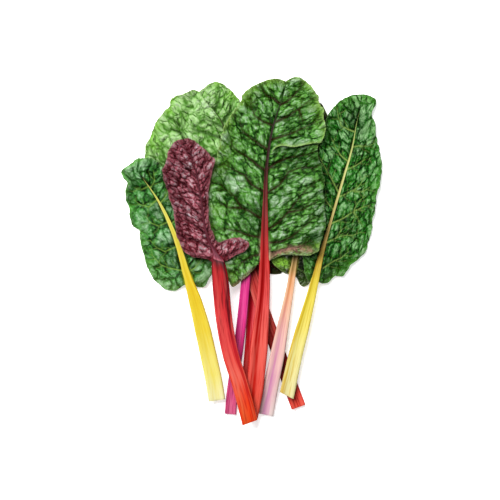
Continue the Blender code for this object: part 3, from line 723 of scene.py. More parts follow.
def blade_finish(name, deep, body, crest_highlight, patch, vein, vein_net_shade, rim, base, under, selvedge, hem,
                 vein_net_shade_share=0.3, vein_share=0.9, base_share=0.5, hollow_shade_share=0.75, web_share=0.7,
                 tone_share=0.30, cells=0.6, broad_shade_share=0.45, veinlets=840):
    """A blade's skin: irregular swellings, each of its own tone, with painted shade deep in the
    creases between them, which come and go, and a painted highlight on their tops, with
    painted glints, broad patches of painted shade, patches towards the edge, veins in hollows
    of painted shade, a thin rim, a selvedge along the lower midrib, coloured hems where an
    edge curls, and a duller underside. The colours are in screen values; the darkest is the
    colour of painted shade and the lightest that of a painted highlight."""
    deep, body, crest_highlight, patch, vein, vein_net_shade, rim, base, under, selvedge, hem = (
        tone(*colour) for colour in
        (deep, body, crest_highlight, patch, vein, vein_net_shade, rim, base, under, selvedge, hem))
    make = Finish(name, gloss=0.07)

    def over(colour, attribute, share, top):
        return make.mix(make.sum("MULTIPLY", make.follow(attribute), share), colour, top)

    # Swellings in swellings, and how light each point of them is painted: lighter in their
    # middles and on the crests as a painted highlight, darker at their borders as painted shade,
    # and each cell of its own tone.
    place = make.step("ShaderNodeCombineXYZ", X=make.follow("cell_x"), Y=make.follow("cell_y")).outputs[0]
    place = make.wander(place, 0.8, 1.3)
    border, (tones, lean) = make.cells(cells, place), make.cell_tones(cells, place)
    small_border, (small_tones, _) = make.cells(2.6 * cells, place), make.cell_tones(2.6 * cells, place)
    swelling = make.sum("ADD", make.share(border, 0.0, 0.20, 0.36), make.share(small_border, 0.0, 0.34, 0.14))
    lean = make.sum("MULTIPLY", lean, 0.8 * cells)
    chance = make.sum("ADD", make.share(tones, 0.0, 1.0, 0.6), make.share(small_tones, 0.0, 1.0, 0.4))
    # The lean paints each cell lighter on one side and darker on the other: painted light and shade, as if
    # each face of it were lit or turned away.
    chance = make.sum("ADD", chance, lean)
    fine = make.noise(700.0, 3.0)
    uneven = make.share(make.noise(330.0, 4.0), 0.3, 0.7, 0.28)
    height = make.sum("ADD", make.sum("MULTIPLY", make.follow("crest_highlight"), 0.55), swelling)
    height = make.sum("ADD", height, make.sum("MULTIPLY", chance, tone_share))
    height = make.sum("SUBTRACT", make.sum("ADD", height, uneven), 0.30)

    # Their colour: broad random patches of painted shade, patches towards the edge, painted
    # glints on the tops, and painted shade in the creases between the swellings.
    colour = make.ramp(height, [(0.12, deep), (0.46, body), (0.92, crest_highlight)])
    colour = make.mix(make.share(make.noise(30.0, 2.5), 0.50, 0.68, broad_shade_share), colour, deep)
    patches = make.sum("MULTIPLY", make.share(make.noise(60.0, 2.0), 0.42, 0.62, 0.8),
                       make.follow("margin"))
    colour = make.mix(patches, colour, patch)
    painted_glints = make.sum("MULTIPLY", make.share(make.noise(640.0, 3.0), 0.56, 0.64, 0.55), height)
    colour = make.mix(painted_glints, colour, crest_highlight)
    tight = make.sum("ADD", make.share(make.noise(48.0, 2.0), 0.40, 0.60, 0.75), 0.25)
    crease_shade = make.sum("MULTIPLY", make.share(border, 0.10, 0.03, 1.15 * web_share), tight)
    colour = make.mix(crease_shade, colour, vein_net_shade)
    small_crease_shade = make.sum("MULTIPLY", make.share(small_border, 0.12, 0.02, 0.55 * web_share), tight)
    colour = make.mix(small_crease_shade, colour, deep)

    # What the mesh carries, laid over it: the base, the net of small veins and creases and the
    # hollows in painted shade, the veins, the hems, the selvedge, the rim, which along the fold
    # carries a painted highlight, and the underside.
    colour = over(colour, "base", base_share, base)
    colour = over(colour, "vein_net_shade", vein_net_shade_share, vein_net_shade)
    colour = over(colour, "hollow_and_painted_shade", hollow_shade_share, deep)
    colour = over(colour, "vein", vein_share, vein)
    colour = over(colour, "hem", make.share(make.noise(420.0, 3.0), 0.2, 0.65, 0.95), hem)
    colour = over(colour, "selvedge", 0.8, selvedge)
    colour = over(colour, "rim", 0.6, rim)
    colour = make.mix(make.share(fine, 0.3, 0.8, 0.18), colour, deep)
    colour = over(colour, "beneath", 0.75, under)
    make.bump((make.share(border, 0.0, 0.30), 0.9, 0.0018),
              (make.share(small_border, 0.0, 0.30), 0.7, 0.0007),
              (lean, 0.9, 0.0080), (make.noise(330.0, 3.0), 0.5, 0.0006),
              (make.share(make.cells(veinlets), 0.0, 0.16), 0.4, 0.0003))
    return make.done(colour, make.sum("ADD", make.share(fine, 0.2, 0.9, 0.16), 0.26))


def stem_finish(name, midrib, shades, facets, flesh, slant=0.0):
    """A stem's skin. Its colour, its deep tone and its lit tone change along it, each set at a row
    of the photograph, which slants by a share of its length; across it, facets go from -1, the
    deep tone, to 1, the lit one. The deep and lit tones are painted shade and painted light on
    the stem's sides, mixed with its own darker and lighter bands."""
    make = Finish(name, gloss=0.06)
    across = make.follow("across")
    along = make.sum("ADD", make.follow("along"), make.sum("MULTIPLY", across, slant))
    rows = BUNCH_MIDDLE[1] - midrib.line[:, 1] / PIXEL
    places = [float(np.interp(-row, -rows, midrib.at) / midrib.length) for row, *_ in shades]
    body, deep, lit = (make.ramp(along, [(place, tone(*shade[k])) for place, shade in zip(places, shades)])
                       for k in (1, 2, 3))
    where = make.share(across, -1.0, 1.0)
    facet = make.ramp(where, [((x + 1) / 2, (0.5 + 0.5 * v,) * 3 + (1,)) for x, v in facets])
    thread = make.step("ShaderNodeCombineXYZ", X=make.sum("MULTIPLY", across, 2.6),
                       Y=make.sum("MULTIPLY", along, 5.0), Z=make.follow("down")).outputs[0]
    threads = make.noise(2.2, 4.0, thread)
    streaks = make.noise(0.9, 3.0, thread)
    # Across the stem, painted shade on its deep facets and painted light on its lit ones, with the stem's own
    # bands.
    colour = make.mix(make.share(facet, 0.5, 0.0), body, deep)
    colour = make.mix(make.share(facet, 0.5, 1.0), colour, lit)
    colour = make.mix(make.share(threads, 0.50, 0.62, 0.70), colour, deep)
    colour = make.mix(make.share(streaks, 0.50, 0.62, 0.60), colour, lit)
    dots = make.share(make.cells(900.0), 0.25, 0.4, 0.5)
    heart = make.mix(dots, tone(*flesh), lit)
    colour = make.mix(make.follow("flesh"), colour, heart)
    make.bump((threads, 0.5, 0.0006), (make.noise(900.0, 2.0), 0.2, 0.0002))
    return make.done(colour, make.sum("ADD", make.share(threads, 0.2, 0.9, 0.2), 0.30))


def lay_leaf(leaf, blade_skin, stem_looks, blade_slot, stem_slot, heap):
    """Lay a leaf on the heap: its stem and its blade, in place of their solids."""
    leaf["pressed"] = pressed_by(leaf.get("under", ()))
    draped = spread(heap.height, BLADE_BEND * 1.2, BLADE_BEND)
    midrib = Midrib(leaf)
    midrib.lie(heap, draped)
    stem = grow_stem(leaf, midrib, heap)
    blade = grow_blade(leaf, midrib, heap, draped)
    stem_skin = stem_finish(midrib=midrib, **stem_looks)
    for piece, skin, node, slot in ((stem, stem_skin, "_stem", stem_slot),
                                    (blade, blade_skin, "_blade", blade_slot)):
        piece.data.materials.append(skin)
        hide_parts(leaf["name"] + node)
        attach(piece, "root")


# A leaf's stem line, widths (row of the photograph and millimetres) and edges are read off
# the photograph; an edge point's third number says how far up the midrib, in hundredths, its
# ray starts. Grid counts a blade's rays and the points along one at the left and the right.
# Folds give their width, length, turn and share among the puffed cells, which blister sizes;
# crease is the height of both. Hems are curled edges: a line, its reach in pixels and its
# height. Shaded edge tells from which row to which the right edge lies in shade, and how deep.
heap = Heap()

lay_leaf(
    {
        "name": "mid_red", "groove": 0.9, "under": ("pale_back", "magenta", "pink", "centre", "purple"),
        "grid": (90, 24, 26), "blade_from": 270, "ruffle": 0.003,
        "crease": 0.0010, "blister": (0.011, 0.014), "turn": 0.2,
        "vein_width": 0.0007, "seed": 11, "side_veins": 6,
        "folds_left": (0.006, 0.009, 0.5, 0.5), "folds_right": (0.006, 0.009, -0.5, 0.5),
        "stem": [
            (245.3, 413), (247.2, 392), (249.2, 368), (251, 345), (252.3, 320), (253.6, 297), (255, 275),
            (257, 252), (259.5, 230), (262.5, 208), (266, 186), (270, 165), (274.5, 146), (279, 130),
        ],
        "widths": [(413, 14.6), (300, 12.6), (260, 10), (210, 6.5), (160, 4), (130, 2.2)],
        "left": [
            (248, 269, 0), (240, 260, 4), (233, 246, 9), (230, 230, 15), (230, 213, 23), (232, 195, 32),
            (236, 177, 42), (242, 160, 52), (250, 144, 64), (259, 131, 77), (270, 122, 91), (281, 119, 100),
        ],
        "right": [
            (263, 271, 0), (273, 274, 2), (282, 272.5, 3.5), (288, 267, 5), (291, 258, 8), (293, 245, 13),
            (296, 229, 20), (300, 211, 28), (303, 192, 38), (304, 173, 49), (303, 156, 60), (299, 141, 73),
            (292, 128, 87), (281, 119, 100),
        ],
    },
    blade_finish(
        "dark green blade", deep=(12, 28, 6), body=(36, 60, 22), crest_highlight=(74, 104, 52),
        patch=(70, 96, 30), vein=(90, 24, 22), vein_net_shade=(14, 26, 6),
        rim=(96, 106, 50), base=(70, 44, 30), under=(96, 116, 72),
        selvedge=(120, 50, 46), hem=(80, 50, 36),
    ),
    dict(
        name="red stem",
        shades=[(413, (228, 60, 40), (205, 30, 16), (248, 96, 76)),
                (385, (232, 50, 34), (200, 20, 12), (252, 100, 88)),
                (320, (222, 34, 50), (180, 4, 28), (255, 116, 118)),
                (285, (206, 28, 42), (150, 2, 20), (250, 110, 108)),
                (250, (110, 20, 26), (80, 10, 14), (150, 50, 50))],
        facets=[(-1, -0.9), (-0.7, -0.9), (-0.2, -0.4), (0.0, 0.1), (0.3, 0.6), (0.7, 1), (1, -0.2)],
        flesh=(250, 170, 150),
    ),
    "green_leaf", "dark_red_stem", heap,
)


# The pale leaf behind, with a dark red stem that crosses under all the others and comes out
# at the lower right. Its blade is thin, light green and finely wrinkled, with dark veins that
# fork.
lay_leaf(
    {
        "name": "pale_back", "groove": 0.9, "under": ("magenta", "pink", "yellow_left", "centre", "purple"),
        "grid": (330, 84, 46), "blade_from": 268, "ruffle": 0.006,
        "crease": 0.0026, "blister": (0.012, 0.016), "turn": 0.5,
        "vein_width": 0.0019, "seed": 23, "shaded_edge": (190, 98, 0.026),
        "folds_left": (0.010, 0.016, 0.7, 0.45), "folds_right": (0.008, 0.012, -0.5, 0.5),
        "stem": [
            (298.5, 407), (291.5, 388), (284.5, 369), (277.5, 350), (270.5, 330.5), (263, 309.5),
            (256.5, 290), (250.5, 268), (245, 243), (241, 218), (237.5, 193), (234, 170), (230, 148),
            (225, 129.5), (217.5, 115), (208, 106), (201, 101),
        ],
        "widths": [(407, 16.3), (310, 14.3), (285, 13.2), (240, 9), (190, 5),
                   (150, 2.6), (101, 1.5)],
        "left": [
            (240, 267, 0), (226, 259, 2), (212, 253, 4), (196, 245, 6), (180, 233, 8), (166, 218, 10),
            (154, 200, 13), (148, 182, 16), (144.5, 168, 18.5), (145, 156, 21), (147, 145, 24),
            (151.5, 133, 27), (157, 121, 30), (164, 112.5, 33), (169.5, 106, 36), (171, 100, 38),
            (177, 96, 43), (183, 94.5, 50), (188, 91.5, 60), (194, 90, 80), (199.5, 91.5, 100),
        ],
        "right": [
            (258, 265, 0), (261, 252, 3), (262, 238, 7), (262, 220, 13), (260, 200, 20), (257, 180, 27),
            (254, 160, 35), (251, 142, 42), (248, 127, 49), (245, 114, 57), (241, 104, 65), (236, 96.5, 72),
            (231, 90.5, 78), (224, 85, 84), (217, 82, 89), (210, 83.5, 93), (204.5, 88, 97),
            (199.5, 91.5, 100),
        ],
        "veins_left": [
            [(233, 160), (214, 156), (196, 149), (183.5, 141), (181.4, 125.5), (182.5, 113),
             (188.4, 105.2)],
            [(181.6, 133), (173.7, 129.7), (165, 129)], [(181.4, 126), (172, 119), (166, 116)],
            [(228, 140), (212, 135), (198, 131), (192.6, 129), (198, 124), (207, 118)],
            [(224.5, 128), (212, 122), (203, 118)],
            [(238, 195), (214, 190), (192, 182), (172, 172), (156, 160), (151, 148)],
            [(172, 172), (164, 158), (162, 145)],
            [(243, 235), (218, 228), (196, 216), (176, 200), (160, 184)],
        ],
        "veins_right": [
            [(222, 123), (230, 113), (233, 101)], [(214, 111.5), (219, 101), (220, 91)],
            [(229, 145), (238, 132), (242, 119)], [(234, 170), (246, 156), (250, 142)],
        ],
    },
    blade_finish(
        "pale green blade", deep=(108, 180, 60), body=(200, 250, 160), crest_highlight=(206, 230, 190),
        patch=(150, 240, 30), vein=(8, 16, 4), vein_net_shade=(50, 104, 24),
        rim=(140, 170, 80), base=(107, 119, 60), under=(181, 213, 141),
        selvedge=(90, 90, 48), hem=(151, 188, 77),
        hollow_shade_share=0.6, veinlets=1040, broad_shade_share=0.3, web_share=0.34, tone_share=0.16, cells=1.3,
    ),
    dict(
        name="dark red stem",
        shades=[(407, (255, 84, 66), (176, 24, 14), (255, 116, 96)),
                (395, (240, 60, 52), (130, 10, 8), (252, 92, 80)),
                (380, (130, 18, 14), (96, 8, 8), (160, 36, 30)),
                (345, (132, 16, 14), (96, 6, 6), (168, 40, 34)),
                (300, (222, 44, 44), (160, 8, 12), (255, 140, 124)),
                (270, (150, 24, 24), (100, 8, 8), (190, 66, 60)),
                (200, (70, 34, 22), (50, 24, 14), (96, 60, 40)),
                (150, (44, 46, 18), (34, 36, 12), (60, 66, 30)),
                (101, (62, 88, 30), (44, 70, 20), (84, 110, 44))],
        facets=[(-1, -0.5), (-0.7, 0.5), (-0.12, 0.2), (0.0, -0.9), (0.12, 0.2), (0.75, 0.5), (1, -0.3)],
        flesh=(248, 160, 140),
    ),
    "pale_green_leaf", "dark_red_stem", heap,
)


# A leaf with a magenta stem, which narrows away behind the two red ones. Nothing of its
# blade shows from above but a dark corner at the base.
lay_leaf(
    {
        "name": "magenta", "groove": 0.8, "under": ("pink", "centre", "purple"),
        "grid": (90, 22, 22), "blade_from": 268, "ruffle": 0.003,
        "crease": 0.0010, "blister": (0.010, 0.013), "turn": 0.2,
        "vein_width": 0.0007, "seed": 37, "side_veins": 6,
        "folds_left": (0.006, 0.009, 0.5, 0.5), "folds_right": (0.006, 0.009, -0.5, 0.5),
        "stem": [
            (230.5, 414), (232, 395), (235, 370), (238.5, 347), (241.3, 325), (243.8, 300), (245.5, 283),
            (247.5, 265), (250, 243), (253, 220), (256, 197), (259.5, 175), (263, 155), (267, 136),
            (271, 120),
        ],
        "widths": [(414, 13.0), (340, 11), (280, 10), (240, 7), (180, 4.5), (120, 2.2)],
        "left": [
            (240, 267, 0), (234, 259, 3), (227, 247, 8), (221, 232, 15), (218.5, 215, 23), (219, 197, 31),
            (222, 178, 40), (227, 160, 49), (234, 143, 59), (243, 128, 70), (253, 116, 82),
            (263, 108.5, 93), (273.5, 108, 100),
        ],
        "right": [
            (254, 266, 0), (264, 255, 5), (272, 243, 10), (280, 228, 17), (286, 211, 25), (290, 193, 34),
            (292, 174, 44), (292, 156, 54), (290, 140, 65), (286, 126, 76), (281, 115, 88),
            (273.5, 108, 100),
        ],
    },
    blade_finish(
        "magenta leaf's blade", deep=(8, 16, 6), body=(18, 34, 12), crest_highlight=(44, 70, 34),
        patch=(40, 66, 20), vein=(110, 24, 56), vein_net_shade=(8, 16, 5),
        rim=(70, 80, 40), base=(16, 18, 12), under=(90, 114, 68),
        selvedge=(110, 30, 60), hem=(60, 40, 36),
    ),
    dict(
        name="magenta stem",
        shades=[(414, (226, 92, 134), (180, 50, 104), (240, 130, 166)),
                (380, (232, 62, 126), (166, 24, 96), (252, 96, 156)),
                (320, (246, 62, 146), (186, 26, 112), (255, 96, 172)),
                (285, (240, 56, 146), (176, 24, 104), (255, 90, 168)),
                (250, (110, 20, 50), (70, 10, 30), (140, 40, 70))],
        facets=[(-1, -0.9), (-0.65, -0.3), (-0.2, 0.7), (0.3, 0.4), (0.6, -0.2), (1, -0.8)],
        flesh=(252, 180, 206),
    ),
    "green_leaf", "magenta_stem", heap,
)


# The leaf with the pale pink stem. A bright lobe at the left of its base and a crumpled dark
# green one at the right show under the large middle leaf; the stem is peach-coloured above
# and pink with a lilac band below.
lay_leaf(
    {
        "name": "pink", "groove": 0.55, "under": ("yellow_right", "centre"),
        "grid": (190, 34, 36), "blade_from": 275, "ruffle": 0.005,
        "crease": 0.0026, "blister": (0.006, 0.009), "turn": 0.4,
        "vein_width": 0.0005, "seed": 41, "side_veins": 7,
        "folds_left": (0.005, 0.008, 0.5, 0.4), "folds_right": (0.0045, 0.008, -0.9, 0.7),
        "hems_left": [([(273, 262), (279, 261), (285, 263)], 5.5, 0.0012)],
        "stem": [
            (265.5, 414.5), (269, 395), (272.5, 377), (276.5, 358.5), (280, 340), (283.5, 322), (287, 304),
            (290, 288), (292.5, 272), (295.5, 255), (299, 235), (303, 212), (307, 190), (311, 167),
            (315, 145), (318, 128), (320, 116),
        ],
        "widths": [(414.5, 17.6), (350, 15.4), (300, 10), (275, 7.7), (230, 5.5), (180, 4), (116, 2.2)],
        "left": [
            (286.5, 274, 0), (277, 267, 2), (271.5, 261, 3.5), (268.5, 250, 6), (269, 234, 10),
            (273, 214, 16), (279, 192, 24), (286, 170, 33), (293, 149, 43), (300, 130, 54), (305, 116, 66),
            (311, 106, 80), (316, 102.5, 92), (321, 103.5, 100),
        ],
        "right": [
            (297.5, 279, 0), (303, 287, 2), (308, 284.5, 4), (311.5, 278, 6), (314, 268, 9), (319, 252, 14),
            (324, 232, 21), (328, 210, 30), (331, 188, 39), (332, 166, 50), (331, 147, 61),
            (329.5, 132, 72), (328, 120, 82), (326, 111, 92), (321, 103.5, 100),
        ],
    },
    blade_finish(
        "crumpled green blade", deep=(0, 0, 0), body=(29, 29, 5), crest_highlight=(235, 233, 225),
        patch=(102, 151, 40), vein=(151, 196, 102), vein_net_shade=(0, 0, 0),
        rim=(139, 156, 90), base=(77, 122, 40), under=(127, 164, 95),
        selvedge=(151, 151, 53), hem=(176, 250, 80), vein_share=0.5,
    ),
    dict(
        name="pink stem",
        shades=[(414, (252, 200, 216), (240, 168, 208), (255, 236, 228)),
                (395, (250, 186, 206), (234, 156, 200), (255, 224, 214)),
                (375, (242, 168, 192), (222, 140, 188), (250, 206, 196)),
                (340, (244, 184, 184), (230, 150, 180), (250, 206, 184)),
                (315, (246, 188, 160), (232, 150, 140), (250, 206, 176)),
                (290, (250, 186, 142), (232, 150, 92), (255, 206, 170)),
                (278, (244, 174, 122), (214, 140, 74), (252, 200, 156)),
                (270, (190, 144, 84), (140, 106, 50), (220, 180, 120)),
                (240, (90, 100, 34), (60, 70, 20), (120, 130, 60))],
        facets=[(-1, 0.8), (-0.72, 0.9), (-0.5, 0.0), (-0.2, -1.0), (0.1, -0.2), (0.45, 0.7), (1, 0.9)],
        flesh=(252, 226, 214),
    ),
    "green_leaf", "pink_stem", heap,
)


# The left leaf, with a bright yellow stem. Its blade is full and glossy, blue-green with
# rounded swellings, whose tops take a painted highlight, and pale thin veins, and its left
# edge is scalloped.
lay_leaf(
    {
        "name": "yellow_left", "groove": 0.45, "under": ("purple", "centre"),
        "grid": (330, 46, 50), "blade_from": 283, "ruffle": 0.006,
        "crease": 0.0044, "blister": (0.0098, 0.0125), "turn": 0.6,
        "vein_width": 0.0005, "seed": 53, "shaded_edge": (290, 254, 0.009),
        "folds_left": (0.008, 0.012, 0.6, 0.25), "folds_right": (0.007, 0.011, -0.6, 0.4),
        "stem": [
            (217, 400), (214, 381), (209, 357), (203.5, 332), (198.5, 312), (193.5, 294.5), (187.5, 276.5),
            (182.7, 260), (178.5, 245.7), (173, 231), (165.5, 214), (158, 200), (150, 188), (142.5, 177.5),
        ],
        "widths": [(400, 18.7), (330, 17.6), (300, 14.3), (280, 9.6), (250, 6.4), (220, 4),
                   (200, 2.8), (178, 1.5)],
        "left": [
            (182.5, 286, 0), (176, 290.5, 1), (166, 289, 2.5), (156, 281, 4.5), (148, 269, 8),
            (144, 254, 14), (140.5, 240, 21), (139, 229, 27.5), (133.5, 226, 30), (130.5, 216, 35),
            (129.5, 207, 40), (126, 200, 45), (126.5, 188, 56), (127.5, 182, 62), (123, 177, 70),
            (121.5, 173, 76), (125, 168, 86), (130, 164.5, 100),
        ],
        "right": [
            (197, 287, 0), (203, 287, 1.5), (209, 279, 4), (211.5, 266, 9), (211, 254, 16), (207, 238, 26),
            (201, 222, 37), (193, 207, 47), (184, 193, 57), (175, 180, 67), (163, 168, 78), (156, 161, 86),
            (148, 158.5, 92), (138, 159.5, 97), (130, 164.5, 100),
        ],
        "veins_left": [
            [(184, 271), (168.6, 267.7), (161, 264.8), (153.3, 256.2), (150, 254)],
            [(176, 247), (165, 251.5), (157, 247.6), (150, 240)],
            [(168, 222), (159, 226), (151, 223), (145, 216)],
            [(157, 200), (149, 207), (141, 205), (134, 200)],
            [(148, 187), (141, 190), (134, 188)],
        ],
        "veins_right": [
            [(187, 272), (195, 268), (201, 260), (204, 250)], [(178, 248), (187, 240), (191, 230)],
            [(170, 226), (178, 217), (181, 206)], [(160, 204), (167, 195), (168, 184)],
            [(150, 189), (155, 181), (154, 171)],
        ],
    },
    blade_finish(
        "left blade", deep=(0, 25, 0), body=(73, 159, 61), crest_highlight=(189, 235, 183),
        patch=(90, 188, 48), vein=(164, 213, 85), vein_net_shade=(0, 28, 0),
        rim=(132, 188, 97), base=(139, 176, 58), under=(132, 183, 107),
        selvedge=(151, 176, 40), hem=(164, 176, 53),
        vein_share=0.7, hollow_shade_share=0.6, veinlets=920, broad_shade_share=0.6, web_share=0.55,
    ),
    dict(
        name="left yellow stem",
        shades=[(400, (254, 248, 184), (248, 236, 150), (255, 252, 200)),
                (375, (252, 240, 124), (246, 226, 92), (255, 246, 150)),
                (330, (244, 218, 60), (236, 204, 40), (248, 228, 90)),
                (290, (238, 204, 30), (224, 184, 24), (244, 218, 66)),
                (250, (238, 214, 60), (220, 190, 40), (246, 228, 96)),
                (220, (236, 222, 84), (196, 186, 50), (246, 238, 130)),
                (180, (206, 214, 104), (150, 170, 60), (232, 236, 150))],
        facets=[(-1, 0.5), (-0.7, 0.3), (-0.2, 0.1), (0.0, -0.6), (0.25, 0.0), (0.7, 0.4), (1, -0.7)],
        flesh=(252, 248, 206),
    ),
    "green_leaf", "yellow_stem", heap,
)


# The right leaf, with the other yellow stem, cut slantwise. Its blade is the darkest green,
# crumpled into narrow folds along its pale forked veins.
lay_leaf(
    {
        "name": "yellow_right", "groove": 0.45, "under": ("centre",),
        "grid": (360, 48, 52), "blade_from": 281, "ruffle": 0.006,
        "crease": 0.0040, "blister": (0.0070, 0.0110), "turn": -0.5,
        "vein_width": 0.0005, "seed": 67, "cut_skew": -0.27,
        "folds_left": (0.0046, 0.0100, 0.45, 0.7), "folds_right": (0.0046, 0.0110, -0.35, 0.65),
        "stem": [
            (286.5, 395), (291, 374), (295.5, 354), (300.5, 334.5), (305.5, 316), (310.5, 297),
            (314.5, 281), (318.5, 264), (322.5, 249), (327, 233.5), (331.5, 218.5), (336, 203),
            (340.5, 188), (345.5, 171), (350, 156), (353.5, 141), (356, 126), (359.5, 111),
        ],
        "widths": [(395, 16.5), (330, 14.7), (290, 10), (265, 7.2), (240, 4.3), (218, 2.8),
                   (195, 2.8), (150, 2.0), (111, 1.3)],
        "left": [
            (308.5, 281, 0), (305, 271, 3.5), (303, 258, 7), (301, 243, 11), (299, 226, 16),
            (298.5, 208, 22), (299.5, 190, 29), (304, 172, 37), (311, 156, 46), (319, 143, 54),
            (324, 130, 61), (326, 119, 66), (330, 111.5, 71), (337, 104, 79), (345, 98.5, 86),
            (353, 95.5, 93), (361, 94.5, 100),
        ],
        "right": [
            (320.5, 283, 0), (327, 282.5, 1), (333, 277.5, 2), (337.5, 274, 3), (342, 276, 4),
            (347, 270, 5), (350, 265, 6), (358, 259, 7), (364.5, 253, 9), (368, 243, 13), (371.5, 229, 20),
            (373.5, 214, 27), (376, 199, 34), (376.5, 191.5, 38), (380, 184, 43), (380.5, 173, 49),
            (381.5, 165, 53), (379.5, 151, 60), (376, 137.5, 67), (374.5, 124, 74), (371.5, 112, 81),
            (375.5, 103, 87), (374.5, 98, 91), (369, 95.5, 95), (361, 94.5, 100),
        ],
        "veins_left": [
            [(353.8, 131.6), (348.6, 129.7), (340.8, 125.8), (338.2, 117.3), (337, 107.5)],
            [(348, 161.6), (340.8, 155.8), (335, 147), (331, 138)],
            [(338, 192), (331, 178), (326.5, 170.7), (318.7, 156.4), (316, 149)],
            [(334, 211), (325, 200), (319, 188)], [(328, 232), (318, 220), (312, 206)],
        ],
        "veins_right": [
            [(338.5, 197), (346, 194), (351.8, 190.5), (356.7, 188.4), (360.9, 183.5), (366, 174)],
            [(352, 190.5), (362, 192), (370, 187)],
            [(331.5, 223.5), (342.6, 218.6), (353, 211.6), (356, 206), (360, 200), (366, 196)],
            [(353, 211.6), (364, 206.7), (370, 205)], [(353, 211.6), (357, 217), (359, 224)],
            [(326.5, 242.5), (335.6, 238.2), (342.6, 235.4), (353, 235.4), (361, 232)],
            [(335.6, 238.2), (341, 230), (347, 226)],
            [(323, 268), (328.6, 264.2), (334, 260.7), (341, 258), (349, 251)],
            [(353, 147), (358.4, 146), (368, 146.6), (375, 143)],
            [(346, 170), (355, 166), (364, 160), (371, 158)],
        ],
    },
    blade_finish(
        "right blade", deep=(1, 31, 0), body=(42, 146, 23), crest_highlight=(182, 235, 164),
        patch=(78, 172, 26), vein=(176, 216, 104), vein_net_shade=(1, 32, 0),
        rim=(97, 156, 65), base=(102, 164, 33), under=(114, 166, 87),
        selvedge=(53, 77, 21), hem=(139, 188, 53),
        vein_share=0.8, hollow_shade_share=0.55, veinlets=920, broad_shade_share=0.7,
    ),
    dict(
        name="right yellow stem",
        shades=[(396, (244, 230, 150), (226, 186, 76), (252, 244, 186)),
                (360, (248, 234, 130), (226, 186, 50), (254, 246, 172)),
                (330, (248, 228, 90), (222, 184, 38), (254, 240, 130)),
                (300, (244, 220, 60), (218, 190, 40), (250, 232, 100)),
                (280, (232, 206, 54), (204, 168, 34), (244, 224, 84)),
                (260, (206, 166, 44), (160, 116, 20), (224, 194, 80)),
                (240, (184, 146, 60), (140, 100, 30), (204, 174, 100)),
                (215, (200, 180, 96), (156, 130, 50), (222, 208, 136)),
                (175, (216, 212, 122), (160, 168, 66), (236, 236, 160)),
                (120, (170, 194, 96), (120, 154, 56), (200, 218, 130))],
        facets=[(-1, -0.5), (-0.75, -0.8), (-0.5, -0.9), (-0.4, 0.3), (0.2, 0.6), (0.7, 0.8), (1, 0.3)],
        flesh=(252, 248, 210),
    ),
    "green_leaf", "yellow_stem", heap,
)


# The large leaf in the middle, on a wide red stem with a deep groove. Its blade is puffed up
# between sunken dark red veins, its right side is folded over itself once near the top, and
# the brownish edges of its base curl up.
FOLD = {
    "rim": [(270.5, 157), (273, 151), (277, 147), (283, 145.3), (292, 146.5), (300, 145.5),
            (308, 143.8), (318, 142.6), (330, 142)],
    "height": 0.0052, "overhang": 0.0024, "back": 0.030,
}


def folded(fold, x, y, high):
    """Raise what is above the fold's rim and push it forward, down over what is below; also
    give a painted highlight along its lip and a painted shadow just below the rim.
    """
    rim = smooth_line(plan(fold["rim"]))
    above = y - np.interp(x, rim[:, 0], rim[:, 1])
    start = np.clip((x - rim[0, 0]) / 0.016, 0, 1) ** 0.7
    step = np.clip(above / 0.0015 + 0.5, 0, 1)
    away = np.clip(1 - np.maximum(above, 0) / fold["back"], 0, 1) ** 1.5
    raised = high + fold["height"] * start * step * away
    lean = fold["overhang"] * start * step * np.clip(1 - np.maximum(above, 0) / 0.008, 0, 1)
    lip_highlight = bell(above - 0.0014, 0.0012) * np.clip(start * 3, 0, 1)
    shade = np.exp(-np.maximum(-above, 0) / 0.0045) * (above < 0.0004) * np.clip(start * 3, 0, 1)
    return raised, y - lean, lip_highlight, shade


